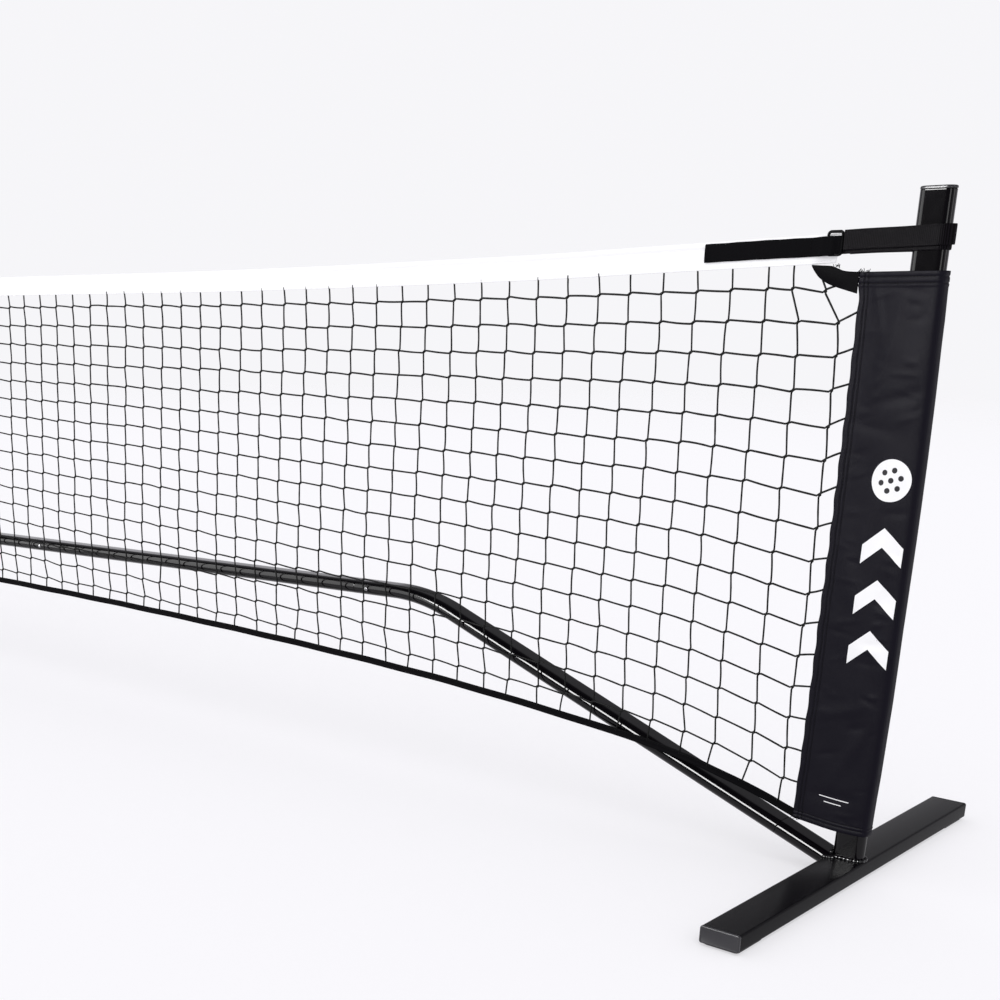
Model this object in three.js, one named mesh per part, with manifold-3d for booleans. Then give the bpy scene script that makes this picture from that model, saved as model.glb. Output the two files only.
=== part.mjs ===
// Portable pickleball net: two posts on foot bars, a sectional base tube, and a net
// with a headband, a bottom band, post sleeves and cinch straps.
// Units are millimetres, +Z is up, X runs along the net and -Y is the front.
// The origin is on the ground at the middle of the net.
// "Inset" means the distance from an end foot's centre line towards the middle of the net.
// End pieces are built at the right (+X) and mirrored to the left.
import * as THREE from 'three';
import { mergeVertices } from 'three/addons/utils/BufferGeometryUtils.js';
import Module from 'manifold-3d';

const wasm = await Module();
wasm.setup();

const QUARTER = Math.PI / 2;

// ---------- driving dimensions ----------
const FOOT_X = 3353;        // end foot centre line
const POST_X = 3356;        // post centre line
const GAP = 0.35;           // clearance left between touching pieces
const WALL = 2;             // wall of every tube and foot bar
const PLAY = 0.8;           // a plug or spigot is this much smaller than its bore
const OVERLAP = 1;          // how far joined solids run into each other, and cuts run out

const TUBE_W = 47.5;        // flat-sided oval tube, long side
const TUBE_H = 24;          // flat-sided oval tube, short side
const POST_W = 48;          // the posts are a shade larger
const POST_H = 24.5;
const POST_TOP = 961;       // tube end, below the cap

const PAD_T = 3;            // rubber pad under each foot end
const FOOT_W = 60;
const FOOT_H = 25;
const FOOT_CAP_T = 4;
const FOOT_BOTTOM = PAD_T + 0.3;
const FOOT_TOP = FOOT_BOTTOM + FOOT_H;

const BAND_H = 38;          // headband
const BAND_T = 5.4;
const NET_T = 2.4;

// ---------- materials ----------
const finish = (settings) => () => new THREE.MeshStandardMaterial(settings);
const MATERIAL = {
  powder: finish({ color: 0x17171a, roughness: 0.38, metalness: 0.55 }),
  plastic: finish({ color: 0x121214, roughness: 0.55, metalness: 0 }),
  rubber: finish({ color: 0x0e0e0e, roughness: 0.9, metalness: 0 }),
  steel: finish({ color: 0xb9bbc0, roughness: 0.3, metalness: 1 }),
  nylon: finish({ color: 0x1e1e22, roughness: 0.6, metalness: 0 }),
  webbing: finish({ color: 0x101012, roughness: 0.85, metalness: 0 }),
  hook: finish({ color: 0x0c0c0e, roughness: 0.95, metalness: 0 }),
  vinyl: finish({ color: 0xf4f4f4, roughness: 0.5, metalness: 0 }),
  twine: finish({ color: 0x0d0d0d, roughness: 0.9, metalness: 0 }),
  cord: finish({ color: 0xdadada, roughness: 0.8, metalness: 0 }),
  wire: finish({ color: 0x1a1a1c, roughness: 0.35, metalness: 0.8 }),
};

const model = new THREE.Group();

// ---------- meshes and solids ----------
function volumeOf(geometry) {
  const { position } = geometry.attributes;
  const corners = geometry.index.array;
  const [a, b, c] = [new THREE.Vector3(), new THREE.Vector3(), new THREE.Vector3()];
  let volume = 0;
  for (let i = 0; i < corners.length; i += 3) {
    a.fromBufferAttribute(position, corners[i]);
    b.fromBufferAttribute(position, corners[i + 1]);
    c.fromBufferAttribute(position, corners[i + 2]);
    volume += a.dot(b.cross(c)) / 6;
  }
  return volume;
}

// a welded copy that holds positions only, with its faces turned outwards
function clean(geometry) {
  let welded = geometry.clone();
  for (const key of Object.keys(welded.attributes)) {
    if (key !== 'position') welded.deleteAttribute(key);
  }
  welded.clearGroups();
  welded = mergeVertices(welded, 1e-4);
  // drop triangles that collapsed when their corners merged
  const corners = welded.index.array;
  const kept = [];
  for (let i = 0; i < corners.length; i += 3) {
    const [a, b, c] = [corners[i], corners[i + 1], corners[i + 2]];
    if (a !== b && b !== c && c !== a) kept.push(a, b, c);
  }
  welded.setIndex(kept);
  if (volumeOf(welded) < 0) {
    for (let i = 0; i < kept.length; i += 3) {
      [kept[i + 1], kept[i + 2]] = [kept[i + 2], kept[i + 1]];
    }
    welded.setIndex(kept);
  }
  return welded;
}

function solid(geometry) {
  const welded = clean(geometry);
  return new wasm.Manifold(new wasm.Mesh({
    numProp: 3,
    vertProperties: new Float32Array(welded.attributes.position.array),
    triVerts: new Uint32Array(welded.index.array),
  }));
}

function geometryOf(manifold) {
  const { vertProperties, triVerts } = manifold.getMesh();
  const geometry = new THREE.BufferGeometry();
  geometry.setAttribute('position', new THREE.Float32BufferAttribute(vertProperties, 3));
  geometry.setIndex(Array.from(triVerts));
  return geometry;
}

const joined = (first, second) => geometryOf(solid(first).add(solid(second)));

function place(name, geometry, material) {
  const welded = clean(geometry);
  welded.computeVertexNormals();
  const mesh = new THREE.Mesh(welded, material());
  mesh.name = name;
  model.add(mesh);
}

// a piece and its mirror image at the other end of the net
function pair(name, geometry, material) {
  place(`${name}_right`, geometry, material);
  place(`${name}_left`, clean(geometry).scale(-1, 1, 1), material);
}

// ---------- outlines ----------
const vec3 = (x, y, z) => new THREE.Vector3(x, y, z);
const points = (rows) => rows.map(([x, y]) => new THREE.Vector2(x, y));

function arc(x, y, radius, from, to, steps) {
  return points(Array.from({ length: steps + 1 }, (_, i) => {
    const angle = from + (to - from) * i / steps;
    return [x + radius * Math.cos(angle), y + radius * Math.sin(angle)];
  }));
}

function oval(width, height, steps) {
  const radius = height / 2;
  const x = width / 2 - radius;
  return [
    ...arc(x, 0, radius, -QUARTER, QUARTER, steps),
    ...arc(-x, 0, radius, QUARTER, 3 * QUARTER, steps),
  ];
}

function roundRect(width, height, radius, steps = 2) {
  const x = width / 2 - radius;
  const y = height / 2 - radius;
  return [
    ...arc(x, -y, radius, -QUARTER, 0, steps),
    ...arc(x, y, radius, 0, QUARTER, steps),
    ...arc(-x, y, radius, QUARTER, 2 * QUARTER, steps),
    ...arc(-x, -y, radius, 2 * QUARTER, 3 * QUARTER, steps),
  ];
}

// one side's points at y < 0, a half circle round its +X end, and the same points at y > 0
function roundEnded(side, x, radius) {
  const otherSide = side.map(([sideX, y]) => [sideX, -y]).reverse();
  return [
    ...points(side),
    ...arc(x, 0, radius, -QUARTER, QUARTER, 8),
    ...points(otherSide),
  ];
}

// the outline runs anticlockwise and the hole clockwise
function shapeOf(outline, hole) {
  const shape = new THREE.Shape(outline);
  if (hole) shape.holes.push(new THREE.Path(hole));
  return shape;
}

const circle = (radius, steps) => (
  shapeOf(arc(0, 0, radius, 0, 4 * QUARTER, steps).slice(0, -1)));

const ovalRing = (width, height) => (
  shapeOf(oval(width, height, 8), oval(width - 2 * WALL, height - 2 * WALL, 8).reverse()));

// ---------- extrusions ----------
const extrude = (shape, depth) => (
  new THREE.ExtrudeGeometry(shape, { depth, bevelEnabled: false, curveSegments: 6 }));

// the shape is drawn in X and Z, and runs from y = 0 to y = -depth
const extrudeForward = (shape, depth) => extrude(shape, depth).rotateX(QUARTER);

// a solid straight bar in the XZ plane; the section's x runs along Y
function bar(section, from, to) {
  const along = vec3().subVectors(to, from);
  const length = along.length();
  along.normalize();
  const across = vec3(0, 1, 0);
  const normal = vec3().crossVectors(along, across);
  const frame = new THREE.Matrix4().makeBasis(across, normal, along).setPosition(from);
  return solid(extrude(section, length).applyMatrix4(frame));
}

// a path whose stations are exactly the given points, with mitred tangents at the corners
class StationPath extends THREE.Curve {
  constructor(stations) {
    super();
    this.stations = stations;
  }

  indexAt(u) {
    return Math.round(u * (this.stations.length - 1));
  }

  getPointAt(u) {
    return this.stations[this.indexAt(u)].clone();
  }

  getTangentAt(u) {
    const i = this.indexAt(u);
    const here = this.stations[i];
    const before = this.stations[Math.max(i - 1, 0)];
    const after = this.stations[Math.min(i + 1, this.stations.length - 1)];
    const arriving = vec3().subVectors(here, before).normalize();
    const leaving = vec3().subVectors(after, here).normalize();
    return arriving.add(leaving).normalize();
  }
}

const sweep = (shape, stations) => new THREE.ExtrudeGeometry(shape, {
  steps: stations.length - 1,
  extrudePath: new StationPath(stations),
  bevelEnabled: false,
});

// ---------- places along the net ----------
const xAt = (inset) => FOOT_X - inset;
const step = (from, direction, distance) => from.clone().addScaledVector(direction, distance);
const opposite = (from) => vec3(-from.x, 0, from.z);
// half a path, ending at the middle of the net, carried on to the left end
const acrossNet = (half) => [...half, ...half.slice(0, -1).reverse().map(opposite)];

// ---------- feet ----------
const END_FOOT_L = 786;     // foot lengths include the caps
const MIDDLE_FOOT_L = 600;
const FOOT_CORNER = 3;
const FOOT_PLUG_DEPTH = 17;
const PAD_L = 70;
const PAD_SETBACK = 6;      // pad edge, back from the foot's end

function footCap() {
  const bore = 2 * WALL + PLAY;
  const plate = extrudeForward(shapeOf(roundRect(FOOT_W, FOOT_H, FOOT_CORNER)), FOOT_CAP_T);
  plate.translate(0, FOOT_CAP_T, 0);
  const plugShape = shapeOf(roundRect(FOOT_W - bore, FOOT_H - bore, 1.2));
  const plug = extrudeForward(plugShape, FOOT_PLUG_DEPTH + OVERLAP);
  plug.translate(0, OVERLAP, 0);
  return joined(plate, plug);
}

function foot(prefix, x, length) {
  const centreZ = FOOT_BOTTOM + FOOT_H / 2;
  const half = length / 2 - FOOT_CAP_T;
  const section = shapeOf(
    roundRect(FOOT_W, FOOT_H, FOOT_CORNER),
    roundRect(FOOT_W - 2 * WALL, FOOT_H - 2 * WALL, 1.5).reverse(),
  );
  const tube = extrudeForward(section, 2 * (half - GAP));
  place(`${prefix}_foot_bar`, tube.translate(x, half - GAP, centreZ), MATERIAL.powder);

  for (const [end, side] of [['front', -1], ['back', 1]]) {
    const cap = footCap();
    if (side < 0) cap.rotateZ(Math.PI);
    cap.translate(x, side * half, centreZ);
    place(`${prefix}_foot_cap_${end}`, cap, MATERIAL.plastic);

    const pad = extrude(shapeOf(roundRect(FOOT_W - 8, PAD_L, 5)), PAD_T);
    pad.translate(x, side * (length / 2 - PAD_SETBACK - PAD_L / 2), 0);
    place(`${prefix}_foot_pad_${end}`, pad, MATERIAL.rubber);
  }
}

// ---------- posts ----------
const POST_CAP_T = 4;
const POST_CAP_EXTRA = 0.8; // the cap's rim is this much wider than the post
const POST_PLUG_DEPTH = 16;

function post() {
  const tube = extrude(ovalRing(POST_W, POST_H), POST_TOP - FOOT_TOP - GAP);
  pair('post', tube.translate(POST_X, 0, FOOT_TOP + GAP), MATERIAL.powder);
}

function postCap() {
  const bore = 2 * WALL + PLAY;
  const rimShape = shapeOf(oval(POST_W + POST_CAP_EXTRA, POST_H + POST_CAP_EXTRA, 8));
  const rim = extrude(rimShape, POST_CAP_T).translate(POST_X, 0, POST_TOP + GAP);
  const plugShape = shapeOf(oval(POST_W - bore, POST_H - bore, 8));
  const plug = extrude(plugShape, POST_PLUG_DEPTH + OVERLAP);
  plug.translate(POST_X, 0, POST_TOP + GAP - POST_PLUG_DEPTH);
  pair('post_cap', joined(rim, plug), MATERIAL.plastic);
}

// ---------- base tube line ----------
// a leg climbs off the foot, bends, and a long run falls gently to the middle
const RISE = 0.3734;        // slope of the leg
const FALL = 0.02297;       // slope of the run
const LEG_Z = 12.4;         // height of the leg's line at inset 0
const RUN_Z = 345.7;        // height of the run's line at inset 0
const BEND_R = 350;
const BEND_STEPS = 8;

const onLeg = (inset) => vec3(xAt(inset), 0, LEG_Z + RISE * inset);
const onRun = (inset) => vec3(xAt(inset), 0, RUN_Z - FALL * inset);
const LEG_DIR = vec3(-1, 0, RISE).normalize();
const RUN_DIR = vec3(-1, 0, -FALL).normalize();

const MIDDLE_Z = onRun(FOOT_X).z;
const CREST_X = 18;         // the middle tube is level between -CREST_X and CREST_X
const CREST = vec3(CREST_X, 0, MIDDLE_Z + FALL * CREST_X);
const CREST_TOP = CREST.z + TUBE_H / 2;

function bendPoints() {
  const angle = Math.atan(RISE) + Math.atan(FALL);
  const corner = onLeg((RUN_Z - LEG_Z) / (RISE + FALL));
  const start = step(corner, LEG_DIR, -BEND_R * Math.tan(angle / 2));
  const towardsCentre = vec3(-RISE, 0, -1).normalize();
  const centre = step(start, towardsCentre, BEND_R);
  return Array.from({ length: BEND_STEPS + 1 }, (_, i) => {
    const turn = angle * i / BEND_STEPS;
    const radial = towardsCentre.clone().multiplyScalar(-Math.cos(turn));
    radial.addScaledVector(LEG_DIR, Math.sin(turn));
    return step(centre, radial, BEND_R);
  });
}

// ---------- joints ----------
const SPIGOT = 72;          // spigot length
const SPIGOT_WALL = 1.8;
const SPIGOT_ROOT = 6;      // how far the spigot runs into its own tube's solid end
const BORE_START = 8;       // the tube's own bore starts this far in
const SPIGOT_BORE_END = 10; // and the spigot's bore runs through to meet it
const BUTTON_BACK = 30;     // button centre, back from the socket's mouth
const BUTTON_HOLE_R = 4.3;
const FRONT = -1;
const BACK = 1;

// each joint has the socket's mouth, the button's centre, and the side the button is on
const joint = (mouth, direction, side) => (
  { mouth, button: step(mouth, direction, -BUTTON_BACK), side });
const STUB_JOINT = joint(onLeg(112), LEG_DIR, BACK);
const BEND_JOINT = joint(onRun(998), RUN_DIR, FRONT);
const RUN_JOINT = joint(onRun(2000), RUN_DIR, FRONT);
const MIDDLE_JOINT = joint(onRun(3002), RUN_DIR, FRONT);

const tubeOval = (reduction) => shapeOf(oval(TUBE_W - reduction, TUBE_H - reduction, 6));
const SPIGOT_BORE_REDUCTION = 2 * WALL + PLAY + 2 * SPIGOT_WALL;
const OUTER_OVAL = tubeOval(0);
const BORE_OVAL = tubeOval(2 * WALL);
const SPIGOT_OVAL = tubeOval(2 * WALL + PLAY);
const SPIGOT_BORE_OVAL = tubeOval(SPIGOT_BORE_REDUCTION);

// a round cutter through one narrow side of the tube, along Y
function buttonHole({ button, side }) {
  const cutter = new THREE.CylinderGeometry(BUTTON_HOLE_R, BUTTON_HOLE_R, 16, 16);
  return solid(cutter.translate(button.x, side * (TUBE_W / 2 - 4), button.z));
}

// adds a spigot behind start and bores it through
function withSpigot(body, start, direction) {
  const from = step(start, direction, -SPIGOT);
  const boreFrom = step(start, direction, -SPIGOT - OVERLAP);
  return body
    .add(bar(SPIGOT_OVAL, from, step(start, direction, SPIGOT_ROOT)))
    .subtract(bar(SPIGOT_BORE_OVAL, boreFrom, step(start, direction, SPIGOT_BORE_END)));
}

// ---------- base tubes ----------
// the stub on the foot is a socket that opens towards the middle of the net
function footStub() {
  const { mouth } = STUB_JOINT;
  const block = (width, depth, height, x, z) => (
    solid(new THREE.BoxGeometry(width, depth, height).translate(x, 0, z)));
  const socketFrom = step(mouth, LEG_DIR, -SPIGOT - 3);
  const postOval = shapeOf(oval(POST_W + 2 * GAP, POST_H + 2 * GAP, 8));
  const postCut = solid(extrude(postOval, 200).translate(POST_X, 0, -20));
  const outerEnd = POST_X - 8;  // nothing is left outwards of here
  const body = bar(OUTER_OVAL, onLeg(-12), mouth)
    .subtract(bar(BORE_OVAL, socketFrom, step(mouth, LEG_DIR, OVERLAP)))
    .subtract(block(FOOT_W + 2 * GAP, 300, 60, FOOT_X, FOOT_TOP + GAP - 30))
    .subtract(postCut)
    .subtract(block(80, 200, 200, outerEnd + 40, 0))
    .subtract(block(600, 300, 60, FOOT_X, FOOT_BOTTOM - 30))
    .subtract(buttonHole(STUB_JOINT));
  pair('foot_stub', geometryOf(body), MATERIAL.powder);
}

// spigot into the stub, leg, bend, run, and a socket at the far end
function bentTube() {
  const bend = bendPoints();
  const start = step(STUB_JOINT.mouth, LEG_DIR, GAP);
  const end = BEND_JOINT.mouth;
  const boreStart = step(start, LEG_DIR, BORE_START);
  const boreEnd = step(end, RUN_DIR, OVERLAP);
  const tube = solid(sweep(OUTER_OVAL, [start, ...bend, end]))
    .subtract(solid(sweep(BORE_OVAL, [boreStart, ...bend, boreEnd])));
  const body = withSpigot(tube, start, LEG_DIR)
    .subtract(buttonHole(STUB_JOINT))
    .subtract(buttonHole(BEND_JOINT));
  pair('bent_tube', geometryOf(body), MATERIAL.powder);
}

function straightTube(name, from, to) {
  const start = step(from.mouth, RUN_DIR, GAP);
  const boreStart = step(start, RUN_DIR, BORE_START);
  const tube = bar(OUTER_OVAL, start, to.mouth)
    .subtract(bar(BORE_OVAL, boreStart, step(to.mouth, RUN_DIR, OVERLAP)));
  const body = withSpigot(tube, start, RUN_DIR)
    .subtract(buttonHole(from))
    .subtract(buttonHole(to));
  pair(name, geometryOf(body), MATERIAL.powder);
}

// the middle tube has a spigot at each end
function middleTube() {
  const start = step(MIDDLE_JOINT.mouth, RUN_DIR, GAP);
  const boreStart = step(start, RUN_DIR, BORE_START);
  const crest = [CREST, opposite(CREST)];
  const tube = solid(sweep(OUTER_OVAL, [start, ...crest, opposite(start)]))
    .subtract(solid(sweep(BORE_OVAL, [boreStart, ...crest, opposite(boreStart)])));
  const oneEnd = withSpigot(tube, start, RUN_DIR);
  const body = withSpigot(oneEnd, opposite(start), opposite(RUN_DIR))
    .subtract(buttonHole(MIDDLE_JOINT))
    .subtract(buttonHole({ ...MIDDLE_JOINT, button: opposite(MIDDLE_JOINT.button) }));
  place('middle_tube', geometryOf(body), MATERIAL.powder);
}

// a pin with a domed head outside the socket and a flange inside the spigot
function snapButton(name, { button, side }) {
  const spigotInside = (TUBE_W - SPIGOT_BORE_REDUCTION) / 2;
  const head = TUBE_W / 2 + 2.2;
  const profile = [         // radius, distance along the pin
    [0, spigotInside - 4.3],
    [5.2, spigotInside - 4.3],
    [5.2, spigotInside - 2.3],
    [4, spigotInside - 2.3],
    [4, head - 2],
    [3.4, head - 0.8],
    [1.9, head - 0.1],
    [0, head],
  ];
  const pin = new THREE.LatheGeometry(points(profile), 16);
  if (side === FRONT) pin.rotateX(Math.PI);
  pair(name, pin.translate(button.x, 0, button.z), MATERIAL.steel);
}

// ---------- middle leg and upright ----------
const UPRIGHT_Y = 13.5;     // the slim upright stands behind the headband
const UPRIGHT_R = 7.5;
const UPRIGHT_TOP = 858;

function middleLeg() {
  const top = MIDDLE_Z - TUBE_H / 2 - GAP;
  const tube = extrude(ovalRing(TUBE_W, TUBE_H), top - FOOT_TOP - GAP);
  place('middle_leg', tube.translate(0, 0, FOOT_TOP + GAP), MATERIAL.powder);
}

// a vertical cylinder on the upright's axis
const uprightRod = (radius, length, centreZ) => (
  new THREE.CylinderGeometry(radius, radius, length, 24)
    .rotateX(QUARTER)
    .translate(0, UPRIGHT_Y, centreZ));

// the collar is notched to sit over the middle tube
function uprightCollar() {
  const centreZ = CREST_TOP + 10;
  const tubeCut = bar(tubeOval(-2 * GAP), vec3(60, 0, CREST.z), vec3(-60, 0, CREST.z));
  const below = new THREE.BoxGeometry(60, 60, 40);
  below.translate(0, UPRIGHT_Y, CREST_TOP - 10.5 - 20);
  const body = solid(uprightRod(UPRIGHT_R + 3, 46, centreZ))
    .subtract(solid(uprightRod(UPRIGHT_R + 0.4, 60, centreZ)))
    .subtract(tubeCut)
    .subtract(solid(below));
  place('upright_collar', geometryOf(body), MATERIAL.powder);
}

function middleUpright() {
  const bottom = CREST_TOP + 1;
  const rod = uprightRod(UPRIGHT_R, UPRIGHT_TOP - bottom, (UPRIGHT_TOP + bottom) / 2);
  place('middle_upright', rod, MATERIAL.powder);
}

function uprightCap() {
  const profile = [         // radius, z
    [0, UPRIGHT_TOP + 0.4],
    [UPRIGHT_R + 0.4, UPRIGHT_TOP + 0.4],
    [UPRIGHT_R + 0.4, UPRIGHT_TOP + 6],
    [UPRIGHT_R - 1.5, UPRIGHT_TOP + 9],
    [0, UPRIGHT_TOP + 10],
  ];
  const cap = new THREE.LatheGeometry(points(profile), 24).rotateX(QUARTER);
  place('upright_cap', cap.translate(0, UPRIGHT_Y, 0), MATERIAL.plastic);
}

// a webbing loop on the back of the headband, round the upright
function middleLoop() {
  const bandBack = BAND_T / 2 + GAP;
  const outline = points([  // x, y
    [-14, bandBack], [14, bandBack], [14, 5],
    [11.5, UPRIGHT_Y + 6], [7, UPRIGHT_Y + 10.5],
    [-7, UPRIGHT_Y + 10.5], [-11.5, UPRIGHT_Y + 6], [-14, 5],
  ]);
  const hole = arc(0, UPRIGHT_Y, UPRIGHT_R + 1.2, 0, -4 * QUARTER, 20).slice(0, -1);
  const loop = extrude(shapeOf(outline, hole), 30).translate(0, 0, 829);
  place('middle_loop', loop, MATERIAL.webbing);
}

// ---------- net edges ----------
// lower edge of the headband: inset, z
const BAND_LOW = [
  [91, 874.5], [142, 872.5], [245, 869], [353, 865.3], [466, 861.5], [578, 857.3],
  [806, 851.7], [1037, 847], [1262, 843.5], [1493, 841], [1723, 839.7], [1960, 838.5],
  [2600, 832.5], [3353, 826],
];
// upper edge of the bottom band: inset, z
const HEM_TOP = [
  [91, 84], [106, 89], [142, 104.5], [177, 119], [323, 152.5], [439, 165], [604, 179],
  [783, 190.7], [978, 199], [1190, 205], [1425, 209], [1684, 211.5], [2130, 212], [3353, 211],
];
// insets of the sheets' columns over half of the net, from the end to the middle
const STATIONS = [
  94, 106, 124, 142, 160, 177, 200, 226, 260, 323,
  439, 604, 783, 978, 1190, 1425, 1684, 2130, 2600, 3353,
];
const HEM_H = 12;           // bottom band height
const HEM_T = 3;
const NET_FRONT = -29.5;    // y of the bottom band, in front of the base tube
const FRONT_FROM = 96;      // inset where the bottom band starts to come forward
const FRONT_RUN = 135;      // and the length over which it does so
const MESH_ROW_Z = 345;     // below this height the mesh hangs at the bottom band's y
const STRAIGHT_H = 48;      // the first row of cells under the headband hangs straight
const TOP_ROW_H = 47.6;     // height of the top row of faces

// every inset asked for lies inside the tables
function heightAt(table, inset) {
  const next = table.findIndex(([station]) => inset <= station);
  const [inset0, z0] = table[next - 1];
  const [inset1, z1] = table[next];
  return z0 + (z1 - z0) * (inset - inset0) / (inset1 - inset0);
}

const hemY = (inset) => (
  NET_FRONT * THREE.MathUtils.smoothstep(inset, FRONT_FROM, FRONT_FROM + FRONT_RUN));

function meshY(inset, z) {
  const top = heightAt(BAND_LOW, inset) - STRAIGHT_H;
  return hemY(inset) * THREE.MathUtils.clamp((top - z) / (top - MESH_ROW_Z), 0, 1);
}

// a thin sheet over the stations, with front and back skins joined round the rim;
// rowsAt gives a column's heights from the bottom up
function sheet(rowsAt, yAt, thickness) {
  const columns = [
    ...STATIONS.map((inset) => [inset, 1]),
    ...STATIONS.slice(0, -1).reverse().map((inset) => [inset, -1]),
  ];
  const positions = [];
  for (const skin of [-1, 1]) {
    for (const [inset, end] of columns) {
      for (const z of rowsAt(inset)) {
        positions.push(end * xAt(inset), yAt(inset, z) + skin * thickness / 2, z);
      }
    }
  }

  const rowCount = rowsAt(STATIONS[0]).length;
  const lastRow = rowCount - 1;
  const lastColumn = columns.length - 1;
  const front = (i, j) => i * rowCount + j;
  const back = (i, j) => columns.length * rowCount + front(i, j);
  const index = [];
  const quad = (a, b, c, d) => index.push(a, b, c, a, c, d);
  for (let i = 0; i < lastColumn; i++) {
    for (let j = 0; j < lastRow; j++) {
      quad(front(i, j), front(i, j + 1), front(i + 1, j + 1), front(i + 1, j));
      quad(back(i, j), back(i + 1, j), back(i + 1, j + 1), back(i, j + 1));
    }
    quad(front(i, 0), front(i + 1, 0), back(i + 1, 0), back(i, 0));
    quad(front(i, lastRow), back(i, lastRow), back(i + 1, lastRow), front(i + 1, lastRow));
  }
  for (let j = 0; j < lastRow; j++) {
    const [i, k] = [lastColumn, j + 1];
    quad(front(0, j), back(0, j), back(0, k), front(0, k));
    quad(front(i, j), front(i, k), back(i, k), back(i, j));
  }
  const geometry = new THREE.BufferGeometry();
  geometry.setAttribute('position', new THREE.Float32BufferAttribute(positions, 3));
  geometry.setIndex(index);
  return geometry;
}

// ---------- net, headband and bottom band ----------
const CORD_HOLE_R = 2.1;
const CORD_R = CORD_HOLE_R - 0.5;
const CORD_RISE = BAND_H / 2 - 5; // cord above the headband's centre line

function netMesh() {
  const rowsAt = (inset) => {
    const top = heightAt(BAND_LOW, inset) - GAP;
    return [heightAt(HEM_TOP, inset) + GAP, MESH_ROW_Z, top - TOP_ROW_H, top];
  };
  place('net_mesh', sheet(rowsAt, meshY, NET_T), MATERIAL.twine);
}

function bandLine() {
  const insets = [126, ...BAND_LOW.slice(1).map(([inset]) => inset)];
  return insets.map((inset) => vec3(xAt(inset), 0, heightAt(BAND_LOW, inset) + BAND_H / 2));
}

// the cord's line, with its ends moved outwards and up
function cordLine(outwards, lift) {
  const half = bandLine().map((centre) => vec3(centre.x, 0, centre.z + CORD_RISE));
  half[0].x += outwards;
  half[0].z += lift;
  return acrossNet(half);
}

// a tape with a channel for the cord along its upper edge
function headband() {
  const section = shapeOf(roundRect(BAND_T, BAND_H, 1.6));
  const channel = sweep(circle(CORD_HOLE_R, 8), cordLine(4, 0.1));
  const body = solid(sweep(section, acrossNet(bandLine()))).subtract(solid(channel));
  place('headband', geometryOf(body), MATERIAL.vinyl);
}

function headCord() {
  place('head_cord', sweep(circle(CORD_R, 8), cordLine(-3, -0.05)), MATERIAL.cord);
}

function bottomBand() {
  const rowsAt = (inset) => {
    const top = heightAt(HEM_TOP, inset);
    return [top - HEM_H, top];
  };
  place('bottom_band', sheet(rowsAt, hemY, HEM_T), MATERIAL.webbing);
}

// ---------- post sleeve and corner tab ----------
const SLEEVE_NET_X = xAt(91);     // net-side edge
const SLEEVE_FOLD_X = xAt(-34);   // outer fold
const SLEEVE_R = 17;
const SLEEVE_BOTTOM = 70.5;
const SLEEVE_TOP = 861;
const CLOTH_T = 1.6;

// a pocket that is open at both ends, with a flat seam on the net side
function postSleeve() {
  const foldX = SLEEVE_FOLD_X - SLEEVE_R;
  const innerR = SLEEVE_R - CLOTH_T;
  const outer = roundEnded([
    [SLEEVE_NET_X, -3],
    [SLEEVE_NET_X + 26, -3.6],
    [foldX - 34, -SLEEVE_R + 0.5],
  ], foldX, SLEEVE_R);
  const inner = roundEnded([
    [SLEEVE_NET_X + 27.5, -1.6],
    [foldX - 33, -innerR + 0.5],
  ], foldX, innerR);
  const sleeve = extrude(shapeOf(outer, inner.reverse()), SLEEVE_TOP - SLEEVE_BOTTOM);
  pair('post_sleeve', sleeve.translate(0, 0, SLEEVE_BOTTOM), MATERIAL.nylon);
}

// a tape tab from the headband's lower corner to the sleeve's upper corner
function cornerTab() {
  const outline = [         // inset, z
    [160, 871.2], [123, 872.8], [119, 868.5], [112, 864.6],
    [91.6, 862], [91.6, 834.5], [118, 841.5], [143, 854],
  ];
  const shape = shapeOf(points(outline.map(([inset, z]) => [xAt(inset), z])));
  const tab = extrudeForward(shape, 2.2).translate(0, -NET_T / 2 - GAP, 0);
  pair('corner_tab', tab, MATERIAL.webbing);
}

// ---------- cinch strap ----------
const STRAP_Z = 900;
const STRAP_H = 26;
const STRAP_T = 1.7;
const STRAP_NEAR_X = xAt(117);              // where the webbing's runs meet
const POST_ARC_X = (POST_W - POST_H) / 2;   // post centre to the centre of its round side
const STRAP_TURN_X = POST_X + POST_ARC_X;
const STRAP_BEND_X = POST_X - POST_ARC_X - 6;
const STRAP_INNER_R = POST_H / 2 + 0.8;
const STRAP_OUTER_R = STRAP_INNER_R + STRAP_T;

// a strip on the front of the headband
function anchorStrip() {
  const inset = 232;
  const strip = extrudeForward(shapeOf(roundRect(196, 26, 1.2, 1)), 1.8);
  strip.rotateY(0.012);     // follows the headband's slope
  strip.translate(xAt(inset), -BAND_T / 2 - GAP - 0.1, heightAt(BAND_LOW, inset) + 24.2);
  pair('anchor_strip', strip, MATERIAL.hook);
}

function strapRing() {
  const shape = shapeOf(roundRect(22, 33, 4, 3), roundRect(15, 27, 1.5, 3).reverse());
  const ring = extrudeForward(shape, 3.4).translate(xAt(128), -BAND_T / 2 - 3.2, 899);
  pair('strap_ring', ring, MATERIAL.wire);
}

// both runs meet near the ring and pass round the outside of the post
function strapLoop() {
  const outer = roundEnded(
    [[STRAP_NEAR_X, -4.6], [STRAP_BEND_X, -STRAP_OUTER_R]],
    STRAP_TURN_X,
    STRAP_OUTER_R,
  );
  const inner = roundEnded(
    [[STRAP_NEAR_X + 3, -2.4], [STRAP_BEND_X, -STRAP_INNER_R]],
    STRAP_TURN_X,
    STRAP_INNER_R,
  );
  const loop = extrude(shapeOf(outer, inner.reverse()), STRAP_H);
  pair('strap_loop', loop.translate(0, 0, STRAP_Z - STRAP_H / 2), MATERIAL.webbing);
}

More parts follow.
